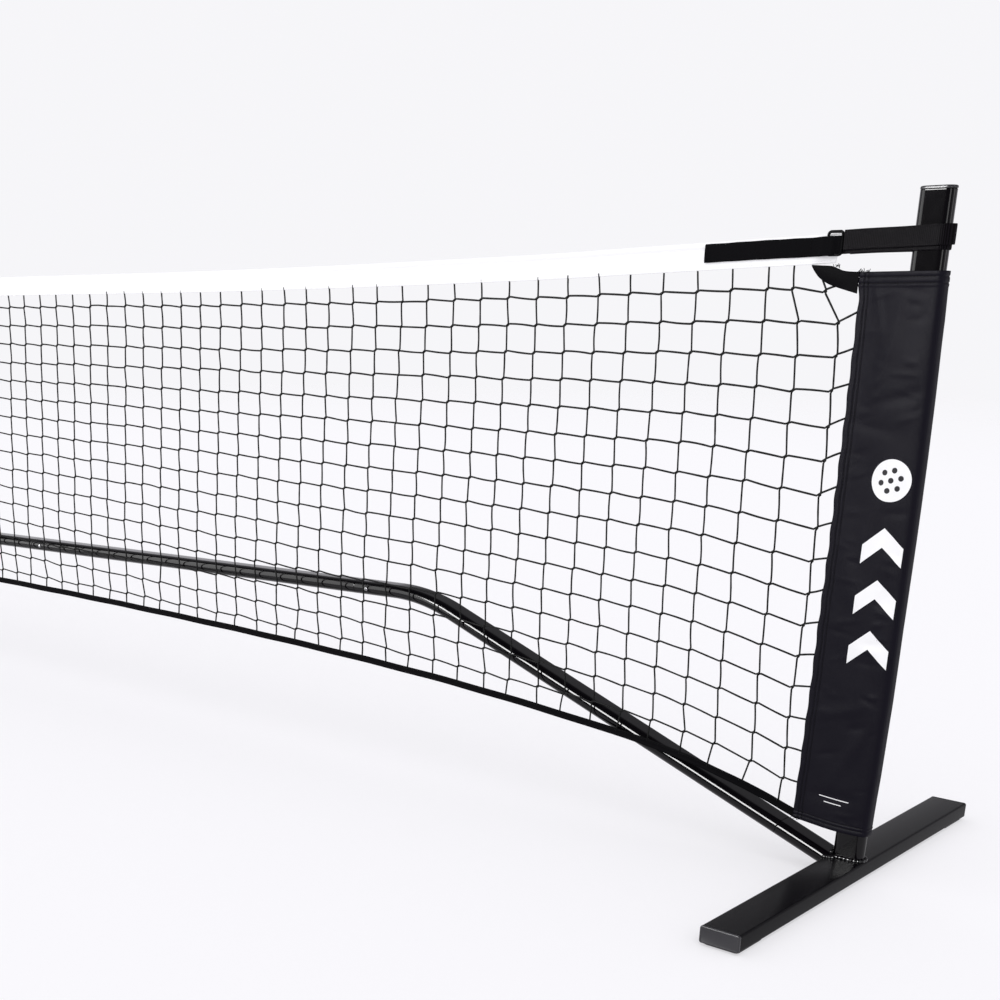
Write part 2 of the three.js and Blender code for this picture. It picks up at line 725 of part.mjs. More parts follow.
// the free tail lies over the front run and just rounds the post's outer edge
function strapTail() {
  const innerR = STRAP_OUTER_R + 0.5;
  const outerR = innerR + STRAP_T;
  const height = STRAP_H - 1;
  const turn = (radius) => (
    arc(STRAP_TURN_X, 0, radius, -QUARTER, -QUARTER + Math.PI * 0.36, 3));
  const outline = [
    ...points([[STRAP_NEAR_X + 1, -7.2], [STRAP_BEND_X, -outerR]]),
    ...turn(outerR),
    ...turn(innerR).reverse(),
    ...points([[STRAP_BEND_X, -innerR], [STRAP_NEAR_X + 1, -5.4]]),
  ];
  const tail = extrude(shapeOf(outline), height).translate(0, 0, STRAP_Z - height / 2);
  pair('strap_tail', tail, MATERIAL.webbing);
}

// ---------- assembly ----------
foot('right', FOOT_X, END_FOOT_L);
foot('left', -FOOT_X, END_FOOT_L);
foot('middle', 0, MIDDLE_FOOT_L);
post();
postCap();

footStub();
bentTube();
straightTube('outer_tube', BEND_JOINT, RUN_JOINT);
straightTube('inner_tube', RUN_JOINT, MIDDLE_JOINT);
middleTube();
middleLeg();
uprightCollar();
middleUpright();
uprightCap();
middleLoop();

snapButton('stub_button', STUB_JOINT);
snapButton('bend_button', BEND_JOINT);
snapButton('run_button', RUN_JOINT);
snapButton('middle_button', MIDDLE_JOINT);

netMesh();
headband();
headCord();
bottomBand();
postSleeve();
cornerTab();
anchorStrip();
strapRing();
strapLoop();
strapTail();

export default model;
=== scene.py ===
import bpy
import math
import numpy as np
from mathutils import Vector, Matrix


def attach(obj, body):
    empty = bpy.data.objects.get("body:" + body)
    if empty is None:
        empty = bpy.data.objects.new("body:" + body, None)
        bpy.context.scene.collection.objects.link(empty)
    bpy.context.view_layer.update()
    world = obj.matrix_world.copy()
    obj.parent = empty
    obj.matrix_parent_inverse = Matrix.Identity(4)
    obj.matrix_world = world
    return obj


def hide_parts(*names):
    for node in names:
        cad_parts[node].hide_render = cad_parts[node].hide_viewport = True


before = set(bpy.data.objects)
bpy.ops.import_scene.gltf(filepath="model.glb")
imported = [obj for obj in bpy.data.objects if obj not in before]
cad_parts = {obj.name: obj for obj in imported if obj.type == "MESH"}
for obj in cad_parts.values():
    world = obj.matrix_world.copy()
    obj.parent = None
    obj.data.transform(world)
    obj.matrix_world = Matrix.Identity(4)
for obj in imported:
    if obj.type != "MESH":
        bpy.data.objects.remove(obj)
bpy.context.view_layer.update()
MM = 0.001
rng = np.random.default_rng(41)
scene = bpy.context.scene

# ---------------------------------------------------------------- the same numbers as the frame
FOOT_X, POST_X = 3353.0, 3356.0
FOOT_Z0, FOOT_TOP = 3.3, 28.3
TUBE_W, TUBE_H = 47.5, 24.0
POST_W, POST_H = 48.0, 24.5
RISE, FALL, Z_LEG0, Z_RUN0, BEND_R = 0.3734, 0.02297, 12.4, 345.7, 350.0
SEAM0, SEAM1, SEAM2, SEAM3 = 112.0, 998.0, 2000.0, 3002.0
BAND_LOW = [(91, 874.5), (142, 872.5), (245, 869), (353, 865.3), (466, 861.5), (578, 857.3), (806, 851.7), (1037, 847), (1262, 843.5), (1493, 841), (1723, 839.7), (1960, 838.5), (2600, 832.5), (3353, 826)]
HEM_TOP = [(91, 84), (106, 89), (142, 104.5), (177, 119), (323, 152.5), (439, 165), (604, 179), (783, 190.7), (978, 199), (1190, 205), (1425, 209), (1684, 211.5), (2130, 212), (3353, 211)]


def smooth_table(t):
    """A smooth curve through a table, flat at the middle of the net."""
    a = np.array(t, float)
    x = np.r_[a[:, 0], 2 * 3353 - a[::-1][1:, 0]]
    y = np.r_[a[:, 1], a[::-1][1:, 1]]
    m = np.gradient(y, x)
    def f(d):
        d = np.asarray(d, float)
        i = np.clip(np.searchsorted(x, d) - 1, 0, len(x) - 2)
        h = x[i + 1] - x[i]
        s = np.clip((d - x[i]) / h, 0, 1)
        return (2 * s**3 - 3 * s**2 + 1) * y[i] + (s**3 - 2 * s**2 + s) * h * m[i] + (-2 * s**3 + 3 * s**2) * y[i + 1] + (s**3 - s**2) * h * m[i + 1]
    return f


band_low = smooth_table(BAND_LOW)
hem_top = smooth_table(HEM_TOP)


def smoothstep(t):
    s = np.clip(t, 0, 1)
    return s * s * (3 - 2 * s)


def hem_y(d):
    return -29.5 * smoothstep((np.asarray(d, float) - 96) / 135)


def net_y(d, z):
    top = band_low(d) - 48
    return hem_y(d) * np.clip((top - z) / (top - 345), 0, 1)


# ---------------------------------------------------------------- materials
def mat(name, base, rough, metal=0.0, spec=0.5, sheen=0.0, coat=0.0):
    m = bpy.data.materials.new(name)
    m.use_nodes = True
    p = m.node_tree.nodes["Principled BSDF"]
    p.inputs["Base Color"].default_value = (*base, 1)
    p.inputs["Roughness"].default_value = rough
    p.inputs["Metallic"].default_value = metal
    p.inputs["Specular IOR Level"].default_value = spec
    p.inputs["Sheen Weight"].default_value = sheen
    p.inputs["Coat Weight"].default_value = coat
    p.inputs["Coat Roughness"].default_value = 0.2
    m.diffuse_color = (*base, 1)
    return m


def node(m, kind, **values):
    n = m.node_tree.nodes.new(kind)
    for k, v in values.items():
        if k in n.inputs:
            n.inputs[k].default_value = v
        else:
            setattr(n, k, v)
    return n


def link(m, a, b):
    m.node_tree.links.new(a, b)


def coords(m, scale=(1, 1, 1), rotation=(0, 0, 0)):
    tc = node(m, "ShaderNodeTexCoord")
    mp = node(m, "ShaderNodeMapping")
    mp.inputs["Scale"].default_value = scale
    mp.inputs["Rotation"].default_value = rotation
    link(m, tc.outputs["Object"], mp.inputs["Vector"])
    return mp.outputs["Vector"]


def add_bump(m, heights, strength, distance):
    """Sums procedural heights into the normal."""
    p = m.node_tree.nodes["Principled BSDF"]
    total = heights[0]
    for h in heights[1:]:
        add = node(m, "ShaderNodeMath", operation="ADD")
        link(m, total, add.inputs[0])
        link(m, h, add.inputs[1])
        total = add.outputs[0]
    b = node(m, "ShaderNodeBump")
    b.inputs["Strength"].default_value = strength
    b.inputs["Distance"].default_value = distance
    link(m, total, b.inputs["Height"])
    link(m, b.outputs["Normal"], p.inputs["Normal"])


def noise(m, scale, detail=3.0, rough=0.55, vec=None):
    n = node(m, "ShaderNodeTexNoise")
    n.inputs["Scale"].default_value = scale
    n.inputs["Detail"].default_value = detail
    n.inputs["Roughness"].default_value = rough
    link(m, vec if vec is not None else coords(m), n.inputs["Vector"])
    return n.outputs["Fac"]


def wave(m, scale, direction, vec=None, distortion=0.0, profile="SIN"):
    n = node(m, "ShaderNodeTexWave", wave_type="BANDS", bands_direction=direction, wave_profile=profile)
    n.inputs["Scale"].default_value = scale
    n.inputs["Distortion"].default_value = distortion
    link(m, vec if vec is not None else coords(m), n.inputs["Vector"])
    return n.outputs["Fac"]


def scaled(m, value, k):
    n = node(m, "ShaderNodeMath", operation="MULTIPLY")
    link(m, value, n.inputs[0])
    n.inputs[1].default_value = k
    return n.outputs[0]


def ramp_rough(m, source, lo, hi):
    p = m.node_tree.nodes["Principled BSDF"]
    r = node(m, "ShaderNodeMapRange")
    r.inputs["To Min"].default_value = lo
    r.inputs["To Max"].default_value = hi
    link(m, source, r.inputs["Value"])
    link(m, r.outputs["Result"], p.inputs["Roughness"])


def ramp_color(m, source, a, b, lo=0.3, hi=0.7):
    p = m.node_tree.nodes["Principled BSDF"]
    r = node(m, "ShaderNodeValToRGB")
    r.color_ramp.elements[0].position = lo
    r.color_ramp.elements[1].position = hi
    r.color_ramp.elements[0].color = (*a, 1)
    r.color_ramp.elements[1].color = (*b, 1)
    link(m, source, r.inputs["Fac"])
    link(m, r.outputs["Color"], p.inputs["Base Color"])


POWDER = mat("powder_coat_gloss", (0.0020, 0.0015, 0.0024), 0.14, spec=0.22)
ramp_rough(POWDER, noise(POWDER, 60, 3), 0.10, 0.14)
add_bump(POWDER, [noise(POWDER, 45, 2), scaled(POWDER, noise(POWDER, 500, 2), 0.12)], 0.012, 0.0005)

SATIN = mat("powder_coat_satin", (0.0014, 0.0011, 0.0020), 0.24, spec=0.22)
ramp_rough(SATIN, noise(SATIN, 40, 3), 0.22, 0.26)
add_bump(SATIN, [noise(SATIN, 900, 2), scaled(SATIN, noise(SATIN, 45, 2), 1.5)], 0.03, 0.0003)

# the upright faces of the feet reflect less than the tops: painted shade, standing in for the feet's own shadow on the
# floor that the sides reflect
_g = node(SATIN, "ShaderNodeNewGeometry")
_s = node(SATIN, "ShaderNodeSeparateXYZ")
link(SATIN, _g.outputs["Normal"], _s.inputs[0])
_m = node(SATIN, "ShaderNodeMapRange")
_m.inputs["From Min"].default_value = 0.3
_m.inputs["From Max"].default_value = 0.9
_m.inputs["To Min"].default_value = 0.03
_m.inputs["To Max"].default_value = 0.22
link(SATIN, _s.outputs["Z"], _m.inputs["Value"])
link(SATIN, _m.outputs["Result"], SATIN.node_tree.nodes["Principled BSDF"].inputs["Specular IOR Level"])

PLASTIC = mat("moulded_plastic", (0.020, 0.019, 0.0235), 0.36, spec=0.4)
add_bump(PLASTIC, [noise(PLASTIC, 1500, 2)], 0.12, 0.0002)

RUBBER = mat("rubber", (0.012, 0.012, 0.012), 0.85, spec=0.3)
add_bump(RUBBER, [noise(RUBBER, 900, 3)], 0.3, 0.0003)

WELD = mat("weld_bead", (0.002, 0.002, 0.0025), 0.1, spec=0.5)
add_bump(WELD, [noise(WELD, 200, 2)], 0.5, 0.0012)

STEEL = mat("plated_steel", (0.30, 0.30, 0.31), 0.3, metal=1.0)

NYLON = mat("sleeve_nylon", (0.0060, 0.0052, 0.0098), 0.46, spec=0.04, sheen=0.0)
NYLON.node_tree.nodes["Principled BSDF"].inputs["Sheen Roughness"].default_value = 0.45
_w = [wave(NYLON, 290, "X"), wave(NYLON, 290, "Z"), scaled(NYLON, noise(NYLON, 26, 4, 0.6), 2.0)]
add_bump(NYLON, _w, 0.22, 0.0005)
ramp_rough(NYLON, noise(NYLON, 18, 3), 0.40, 0.50)

WEBBING = mat("ribbed_webbing", (0.0032, 0.0024, 0.0038), 0.45, spec=0.03, sheen=0.0)
# stripes across the strap at the ribs' pitch: painted shade between the ribs and painted highlight on them
ramp_color(WEBBING, wave(WEBBING, 126, "X"), (0.0008, 0.0006, 0.0010), (0.0056, 0.0042, 0.0066))
add_bump(WEBBING, [wave(WEBBING, 420, "Z"), scaled(WEBBING, noise(WEBBING, 900, 3), 0.8)], 0.35, 0.0004)

TAPE = mat("binding_tape", (0.0018, 0.0015, 0.0024), 0.6, spec=0.02)
add_bump(TAPE, [noise(TAPE, 800, 3), wave(TAPE, 330, "X")], 0.3, 0.0004)

HOOK = mat("loop_tape", (0.0018, 0.0015, 0.0026), 0.85, spec=0.03, sheen=0.0)
add_bump(HOOK, [noise(HOOK, 1400, 4, 0.7), noise(HOOK, 420, 3)], 0.8, 0.0009)

VINYL = mat("white_band", (0.93, 0.93, 0.94), 0.5, spec=0.3)
add_bump(VINYL, [noise(VINYL, 22, 3), scaled(VINYL, wave(VINYL, 300, "X"), 0.10)], 0.12, 0.001)

WHITE_THREAD = mat("white_thread", (0.8, 0.8, 0.8), 0.7)
BLACK_THREAD = mat("black_thread", (0.0006, 0.0006, 0.0009), 0.6, spec=0.05)

TWINE = mat("net_twine", (0.0014, 0.0013, 0.0016), 0.6, spec=0.1)
add_bump(TWINE, [noise(TWINE, 1300, 3, 0.7)], 0.7, 0.0006)

WIRE = mat("black_wire", (0.0016, 0.0016, 0.002), 0.3, spec=0.02)
PRINT = mat("white_print", (0.86, 0.86, 0.87), 0.5, spec=0.4)
add_bump(PRINT, [wave(PRINT, 290, "X"), wave(PRINT, 290, "Z")], 0.1, 0.0004)
PRINT_DARK = mat("print_gap", (0.0068, 0.0060, 0.0102), 0.46, spec=0.16)
# near-black disc colour: painted shade of the open button holes
HOLE_SHADE = mat("hole_painted_shade", (0.001, 0.001, 0.001), 0.9, spec=0.0)
CORD = mat("white_cord", (0.78, 0.78, 0.77), 0.7)


# ---------------------------------------------------------------- mesh helpers
class Soup:
    """Vertices and faces collected into one mesh, in millimetres."""

    def __init__(self):
        self.v, self.f, self.n = [], [], 0

    def add(self, verts, faces):
        verts = np.asarray(verts, float).reshape(-1, 3)
        if isinstance(faces, np.ndarray):
            self.f.append((faces + self.n).tolist())
        else:
            self.f.append([[i + self.n for i in f] for f in faces])
        self.v.append(verts)
        self.n += len(verts)
        return self

    def arrays(self):
        return np.concatenate(self.v), [f for fs in self.f for f in fs]


def make(name, soup, material, body, replaces=(), angle=38, mirror=False):
    v, f = soup.arrays() if isinstance(soup, Soup) else soup
    v = v.copy()
    if mirror:
        v[:, 0] *= -1
        f = [g[::-1] for g in f]
    me = bpy.data.meshes.new(name)
    me.from_pydata((v * MM).tolist(), [], f)
    me.validate()
    me.materials.append(material)
    me.shade_smooth()
    if angle is not None:
        me.set_sharp_from_angle(angle=math.radians(angle))
    ob = bpy.data.objects.new(name, me)
    scene.collection.objects.link(ob)
    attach(ob, body)
    if replaces:
        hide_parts(*replaces)
    return ob


def pair(base, soup, material, body, replaces=(), angle=38):
    """The same piece at both ends; {side} in names becomes right or left."""
    out = []
    for side in ("right", "left"):
        out.append(make(base.format(side=side), soup, material, body.format(side=side),
                        [r.format(side=side) for r in replaces], angle, side == "left"))
    return out


def loft_fast(rings, close=False, caps=True):
    m, n = len(rings[0]), len(rings)
    v = np.concatenate([np.asarray(r, float) for r in rings])
    i = np.arange(n if close else n - 1)[:, None]
    j = np.arange(m)[None, :]
    a, b = i * m + j, i * m + (j + 1) % m
    c, d = ((i + 1) % n) * m + (j + 1) % m, ((i + 1) % n) * m + j
    q = np.stack([a.ravel(), b.ravel(), c.ravel(), d.ravel()], 1)
    p0, p1, p2, p3 = v[q[:, 0]], v[q[:, 1]], v[q[:, 2]], v[q[:, 3]]
    centre = v.mean(0)
    vol = (np.einsum("ij,ij->i", p0 - centre, np.cross(p1 - centre, p2 - centre)) + np.einsum("ij,ij->i", p0 - centre, np.cross(p2 - centre, p3 - centre))).sum()
    faces = q.tolist()
    if caps and not close:
        faces.append(list(range(m))[::-1])
        faces.append([(n - 1) * m + k for k in range(m)])
    if vol < 0:
        faces = [g[::-1] for g in faces]
    return v, faces


def oval(w, h, n=14):
    r, c = h / 2, w / 2 - h / 2
    a = -math.pi / 2 + math.pi * np.arange(n + 1) / n
    right = np.stack([c + r * np.cos(a), r * np.sin(a)], 1)
    return np.concatenate([right, [[c * 0.5, r], [-c * 0.5, r]], -right, [[-c * 0.5, -r], [c * 0.5, -r]]])


def rrect(w, h, r, n=5):
    out = []
    for cx, cy, a0 in ((w / 2 - r, -h / 2 + r, -90), (w / 2 - r, h / 2 - r, 0), (-w / 2 + r, h / 2 - r, 90), (-w / 2 + r, -h / 2 + r, 180)):
        for i in range(n + 1):
            a = math.radians(a0 + 90 * i / n)
            out.append((cx + r * math.cos(a), cy + r * math.sin(a)))
    return np.array(out)


def frames(path, side):
    """Tangents, and the two directions across the path; side is the fixed first direction."""
    path = np.asarray(path, float)
    t = np.gradient(path, axis=0)
    t /= np.linalg.norm(t, axis=1)[:, None]
    s = np.broadcast_to(np.asarray(side, float), path.shape)
    s = s - (s * t).sum(1)[:, None] * t
    s /= np.linalg.norm(s, axis=1)[:, None]
    return t, s, np.cross(t, s)


def ring_at(p, sec, s, b):
    return p + sec[:, :1] * s + sec[:, 1:2] * b


def pipe(path, w, h, wall=2.0, ends=0.7, shape=oval, n=14, side=(0, 1, 0)):
    """An open-ended tube of oval section with softened end edges."""
    path = np.asarray(path, float)
    t, s, b = frames(path, side)
    rings = []
    def add(i, off, along):
        rings.append(ring_at(path[i] + t[i] * along, shape(w - 2 * off, h - 2 * off, n), s[i], b[i]))
    add(0, ends, 0)
    add(0, ends * 0.3, ends * 0.3)
    add(0, 0, ends)
    add(0, 0, ends + 1.0)                # keeps the end's rounding out of the long faces' shading
    for i in range(1, len(path) - 1):
        add(i, 0, 0)
    add(-1, 0, -ends - 1.0)
    add(-1, 0, -ends)
    add(-1, ends * 0.3, -ends * 0.3)
    add(-1, ends, 0)
    add(-1, wall, 0)
    for i in range(len(path) - 2, 0, -1):
        add(i, wall, 0)
    add(0, wall, 0)
    return loft_fast(rings, close=True)


def tube(path, radius, n=8, side=(0, 1, 0), close=False, caps=True):
    path = np.asarray(path, float)
    if close:
        t = np.roll(path, -1, 0) - np.roll(path, 1, 0)
        t /= np.linalg.norm(t, axis=1)[:, None]
        s = np.broadcast_to(np.asarray(side, float), path.shape)
        s = s - (s * t).sum(1)[:, None] * t
        s /= np.linalg.norm(s, axis=1)[:, None]
        b = np.cross(t, s)
    else:
        t, s, b = frames(path, side)
    r = np.broadcast_to(np.asarray(radius, float), (len(path),))
    a = 2 * math.pi * np.arange(n) / n
    rings = [path[i] + r[i] * (np.cos(a)[:, None] * s[i] + np.sin(a)[:, None] * b[i]) for i in range(len(path))]
    return loft_fast(rings, close=close, caps=caps)


def catmull(points, per=8):
    p = np.asarray(points, float)
    q = np.concatenate([[2 * p[0] - p[1]], p, [2 * p[-1] - p[-2]]])
    out = []
    for i in range(1, len(q) - 2):
        for k in range(per):
            t = k / per
            out.append(0.5 * ((2 * q[i]) + (-q[i - 1] + q[i + 1]) * t + (2 * q[i - 1] - 5 * q[i] + 4 * q[i + 1] - q[i + 2]) * t * t
                              + (-q[i - 1] + 3 * q[i] - 3 * q[i + 1] + q[i + 2]) * t ** 3))
    out.append(q[-2])
    return np.array(out)


BOX_F = np.array([[0, 1, 3, 2], [4, 6, 7, 5], [0, 4, 5, 1], [2, 3, 7, 6], [0, 2, 6, 4], [1, 5, 7, 3]])


def dashes(points, normals, length, pitch, width, height):
    """Stitches along a polyline on a surface: small rounded bars that sit on it."""
    points, normals = np.asarray(points, float), np.asarray(normals, float)
    seg = np.r_[0, np.cumsum(np.linalg.norm(np.diff(points, axis=0), axis=1))]
    at = np.arange(pitch / 2, seg[-1] - length / 2, pitch)
    s = Soup()
    if not len(at):
        return s
    def sample(q):
        return np.stack([np.interp(q, seg, points[:, k]) for k in range(3)], 1)
    mid, a, b = sample(at), sample(at - length / 2), sample(at + length / 2)
    nn = np.stack([np.interp(at, seg, normals[:, k]) for k in range(3)], 1)
    nn /= np.linalg.norm(nn, axis=1)[:, None]
    d = b - a
    d /= np.linalg.norm(d, axis=1)[:, None]
    w = np.cross(d, nn)
    rows = []
    for along, squeeze, up in ((-0.5, 0.45, 0.0), (-0.3, 1.0, 0.85), (0.0, 1.0, 1.0), (0.3, 1.0, 0.85), (0.5, 0.45, 0.0)):
        c = mid + d * (along * length)
        rows.append(np.stack([c - w * width / 2 * squeeze - nn * 0.15, c - w * width * 0.3 * squeeze + nn * height * up,
                              c + w * width * 0.3 * squeeze + nn * height * up, c + w * width / 2 * squeeze - nn * 0.15], 1))
    v = np.stack(rows, 1).reshape(-1, 3)          # stitch, row, corner
    base = np.arange(len(at))[:, None, None] * 20
    f = []
    for r in range(4):
        for k in range(3):
            f.append([r * 4 + k, r * 4 + k + 1, (r + 1) * 4 + k + 1, (r + 1) * 4 + k])
    q = (np.array(f)[None] + base).reshape(-1, 4)
    s.add(v, q)
    return s


def P(d, y, z):
    return np.array([FOOT_X - d, y, z], float)


# ---------------------------------------------------------------- feet
def foot(prefix, x, length):
    half = length / 2 - 4
    sec = rrect(60, 25, 3.4, 7)
    rings = []
    inner = rrect(56, 21, 1.6, 7)
    zc = FOOT_Z0 + 12.5
    def ring(y, sc):
        return np.stack([x + sc[:, 0], np.full(len(sc), y), zc + sc[:, 1]], 1)
    ys = np.linspace(-half + 0.35, half - 0.35, 25)
    rings = [ring(ys[0], rrect(59.4, 24.4, 3.2, 7))] + [ring(y, sec) for y in [ys[0] + 0.3, *ys[1:-1], ys[-1] - 0.3]] + [ring(ys[-1], rrect(59.4, 24.4, 3.2, 7))]
    rings += [ring(y, inner) for y in (ys[-1], ys[0])]
    make(prefix + "_foot_skin", loft_fast(rings, close=True), SATIN, "frame", [prefix + "_foot_bar"])
    for end, sgn in (("front", -1), ("back", 1)):
        y0 = sgn * half
        # a plate with a soft rim and a shallow recess
        rr = []
        for w, h, r, off in ((55.2, 20.2, 1.2, -17), (55.2, 20.2, 1.2, -0.1), (59.8, 24.8, 3.2, -0.1), (60.3, 25.3, 3.6, 0.4), (60.3, 25.3, 3.6, 2.4),
                             (59.4, 24.4, 3.3, 3.5), (57.4, 22.4, 2.6, 4.0), (55.6, 20.6, 2.0, 4.0), (54.8, 19.8, 1.8, 3.75)):
            sc = rrect(w, h, r, 7)
            rr.append(ring(y0 + sgn * off, sc))
        make(f"{prefix}_foot_plug_{end}", loft_fast(rr), PLASTIC, "frame", [f"{prefix}_foot_cap_{end}"])
        cy = sgn * (length / 2 - 41)
        base = rrect(52, 70, 5, 6)
        rr = []
        for z, g in ((0.0, 0.5), (0.4, 0), (2.6, 0), (3.0, 0.4), (3.3, 0.4)):
            sc = rrect(52 - 2 * g, 70 - 2 * g, 5, 6)
            rr.append(np.stack([x + sc[:, 0], cy + sc[:, 1], np.full(len(sc), z)], 1))
        make(f"{prefix}_foot_rubber_{end}", loft_fast(rr), RUBBER, "frame", [f"{prefix}_foot_pad_{end}"])


foot("right", FOOT_X, 786)
foot("left", -FOOT_X, 786)
foot("middle", 0, 600)

# ---------------------------------------------------------------- posts
zs = [FOOT_TOP - 0.4, 60, 200, 400, 600, 800, 961]



def post_x(z):
    """The posts splay outwards a little under the net's pull."""
    return POST_X - 2.4 + 4.2 * z / 961.0


path = [(post_x(z), 0, z) for z in zs]
pair("post_skin_{side}", pipe(path, POST_W, POST_H, side=(1, 0, 0), n=20), POWDER, "frame", ["post_{side}"])
rr = []
for z, off in ((945.5, 2.4), (961.3, 2.4), (961.3, 0.2), (961.7, -0.35), (963.6, -0.35), (964.7, 0.3), (965.2, 1.6), (965.3, 3.2), (965.1, 3.6)):
    sc = oval(POST_W - 2 * off, POST_H - 2 * off, 20)
    rr.append(np.stack([post_x(z) + sc[:, 0], sc[:, 1], np.full(len(sc), z)], 1))
pair("post_plug_{side}", loft_fast(rr), PLASTIC, "frame", ["post_cap_{side}"])


def weld(name, path, normals, r0=2.2, pitch=2.4, close=False):
    """A rippled bead laid along a corner."""
    path = np.asarray(path, float)
    seg = np.r_[0, np.cumsum(np.linalg.norm(np.diff(path, axis=0), axis=1))]
    n = int(seg[-1] / 0.6)
    q = np.linspace(0, seg[-1], n)
    p = np.stack([np.interp(q, seg, path[:, k]) for k in range(3)], 1)
    wob = np.interp(q, np.linspace(0, seg[-1], max(4, int(seg[-1] / 5))), rng.normal(0, 0.16 * r0, max(4, int(seg[-1] / 5))))
    r = 0.78 * r0 + wob + 0.42 * r0 * np.abs(np.sin(math.pi * q / pitch)) ** 0.8
    r[0] = r[-1] = 0.6
    return tube(p, r, 12, side=normals)


# bead round the post's foot
a = np.linspace(0, 2 * math.pi, 90)
ov = oval(POST_W + 2.2, POST_H + 2.2, 20)
ov = np.concatenate([ov, ov[:1]])
bead = Soup()
bead.add(*weld("w", np.stack([post_x(28) + ov[:, 0], ov[:, 1], np.full(len(ov), FOOT_TOP + 1.0)], 1), (0, 0, 1), 3.1, 6.4))
pair("post_weld_{side}", bead, WELD, "frame")


# ---------------------------------------------------------------- base tubes
def leg(d):
    return P(d, 0, Z_LEG0 + RISE * d)


def run(d):
    return P(d, 0, Z_RUN0 - FALL * d)


leg_dir = np.array([-1, 0, RISE]) / math.hypot(1, RISE)
run_dir = np.array([-1, 0, -FALL]) / math.hypot(1, FALL)
seam0, seam1, seam2, seam3 = leg(SEAM0), run(SEAM1), run(SEAM2), run(SEAM3)
but0, but1, but2, but3 = seam0 - leg_dir * 30, seam1 - run_dir * 30, seam2 - run_dir * 30, seam3 - run_dir * 30
bend_d = (Z_RUN0 - Z_LEG0) / (RISE + FALL)
corner = leg(bend_d)
angle = math.atan(RISE) + math.atan(FALL)
t0 = corner - leg_dir * BEND_R * math.tan(angle / 2)
nrm = np.array([-RISE, 0, -1]) / math.hypot(1, RISE)
centre = t0 + nrm * BEND_R
arc = [centre + BEND_R * (-nrm * math.cos(angle * i / 28) + leg_dir * math.sin(angle * i / 28)) for i in range(29)]

stub_start = leg(8)
pair("stub_skin_{side}", pipe([stub_start, leg(30), leg(70), seam0], TUBE_W, TUBE_H, n=20), POWDER, "frame", ["foot_stub_{side}"])
s0 = seam0 + leg_dir * 0.5
pair("bent_skin_{side}", pipe([s0, *[s0 + (arc[0] - s0) * k / 6 for k in range(1, 6)], *arc, *[arc[-1] + (seam1 - arc[-1]) * k / 3 for k in range(1, 3)], seam1], TUBE_W, TUBE_H, n=20), POWDER, "frame", ["bent_tube_{side}"])
for nm, a_, b_ in (("outer", seam1, seam2), ("inner", seam2, seam3)):
    st = a_ + run_dir * 0.5
    pair(nm + "_skin_{side}", pipe([st + (b_ - st) * k / 6 for k in range(7)], TUBE_W, TUBE_H, n=20), POWDER, "frame", [nm + "_tube_{side}"])
ms = seam3 + run_dir * 0.5
midz = Z_RUN0 - FALL * FOOT_X
pts = [ms, ms + (np.array([18, 0, midz + FALL * 18]) - ms) * 0.5]
cur = [np.array([x, 0, midz + FALL * (x * x + 18 * 18) / 36]) for x in np.linspace(18, -18, 9)]
full = [*pts, *cur, pts[1] * np.array([-1, 1, 1]), ms * np.array([-1, 1, 1])]
make("middle_skin", pipe(full, TUBE_W, TUBE_H, n=20), POWDER, "frame", ["middle_tube"])
make("middle_leg_skin", pipe([(0, 0, FOOT_TOP - 0.4), (0, 0, 120), (0, 0, midz - TUBE_H / 2 + 0.6)], TUBE_W, TUBE_H, side=(1, 0, 0), n=20), POWDER, "frame", ["middle_leg"])
ml = Soup()
om = oval(TUBE_W + 1.8, TUBE_H + 1.8, 20)
om = np.concatenate([om, om[:1]])
ov0 = np.stack([om[:, 0], om[:, 1], np.full(len(om), FOOT_TOP + 0.9)], 1)
ml.add(*weld("w", ov0, (0, 0, 1), 2.2))
ml.add(*weld("w", ov0 + np.array([0, 0, midz - TUBE_H / 2 - FOOT_TOP - 1.6]), (0, 0, 1), 2.0))
make("middle_weld", ml, WELD, "frame")

# stub welds: along both sides where the tube meets the foot bar, and against the post
ws = Soup()
for sy in (-1, 1):
    line = []
    for d in np.linspace(14, 31, 12):
        zc = Z_LEG0 + RISE * d
        # height of the tube's side surface at the foot's top
        line.append(P(d, sy * (TUBE_W / 2 - TUBE_H / 2 + math.sqrt(max(0.0, (TUBE_H / 2) ** 2 - min((TUBE_H / 2) ** 2, ((FOOT_TOP - zc) * 0.93) ** 2))) + 0.6), FOOT_TOP + 0.8))
    ws.add(*weld("w", line, (0, 0, 1), 2.9, 4.0))
    line = [P(25.5 - 0.6 * k, sy * (2 + 2.0 * k), Z_LEG0 + RISE * (25.5 - 0.6 * k) + TUBE_H / 2 + 1.6) for k in range(0, 7)]
    ws.add(*weld("w", line, (0, 0, 1), 2.8, 4.0))
    line = [P(20, sy * 13.4, z) for z in np.linspace(FOOT_TOP, Z_LEG0 + RISE * 21 + TUBE_H / 2 + 1, 6)]
    ws.add(*weld("w", line, (0, 1, 0), 2.4, 3.6))
pair("stub_weld_{side}", ws, WELD, "frame")


# button holes and buttons; each hole is a near-black disc laid just off the tube's face, painted shade standing in for
# the open hole
def hole_shade_disc(p, sgn):
    s = Soup()
    vs, fs = [], []
    rad = np.array([0.0, 1.6, 3.2, 4.3])
    for r in rad:
        for k in range(24):
            t = 2 * math.pi * k / 24
            dx, dz = r * math.cos(t), r * math.sin(t)
            y = (TUBE_W / 2 - TUBE_H / 2) + math.sqrt(max(0.0, (TUBE_H / 2) ** 2 - dz ** 2)) + 0.06
            vs.append((p[0] + dx, sgn * y, p[2] + dz))
    for i in range(3):
        for k in range(24):
            q = [i * 24 + k, i * 24 + (k + 1) % 24, (i + 1) * 24 + (k + 1) % 24, (i + 1) * 24 + k]
            fs.append(q if sgn > 0 else q[::-1])
    s.add(np.array(vs), fs)
    return s


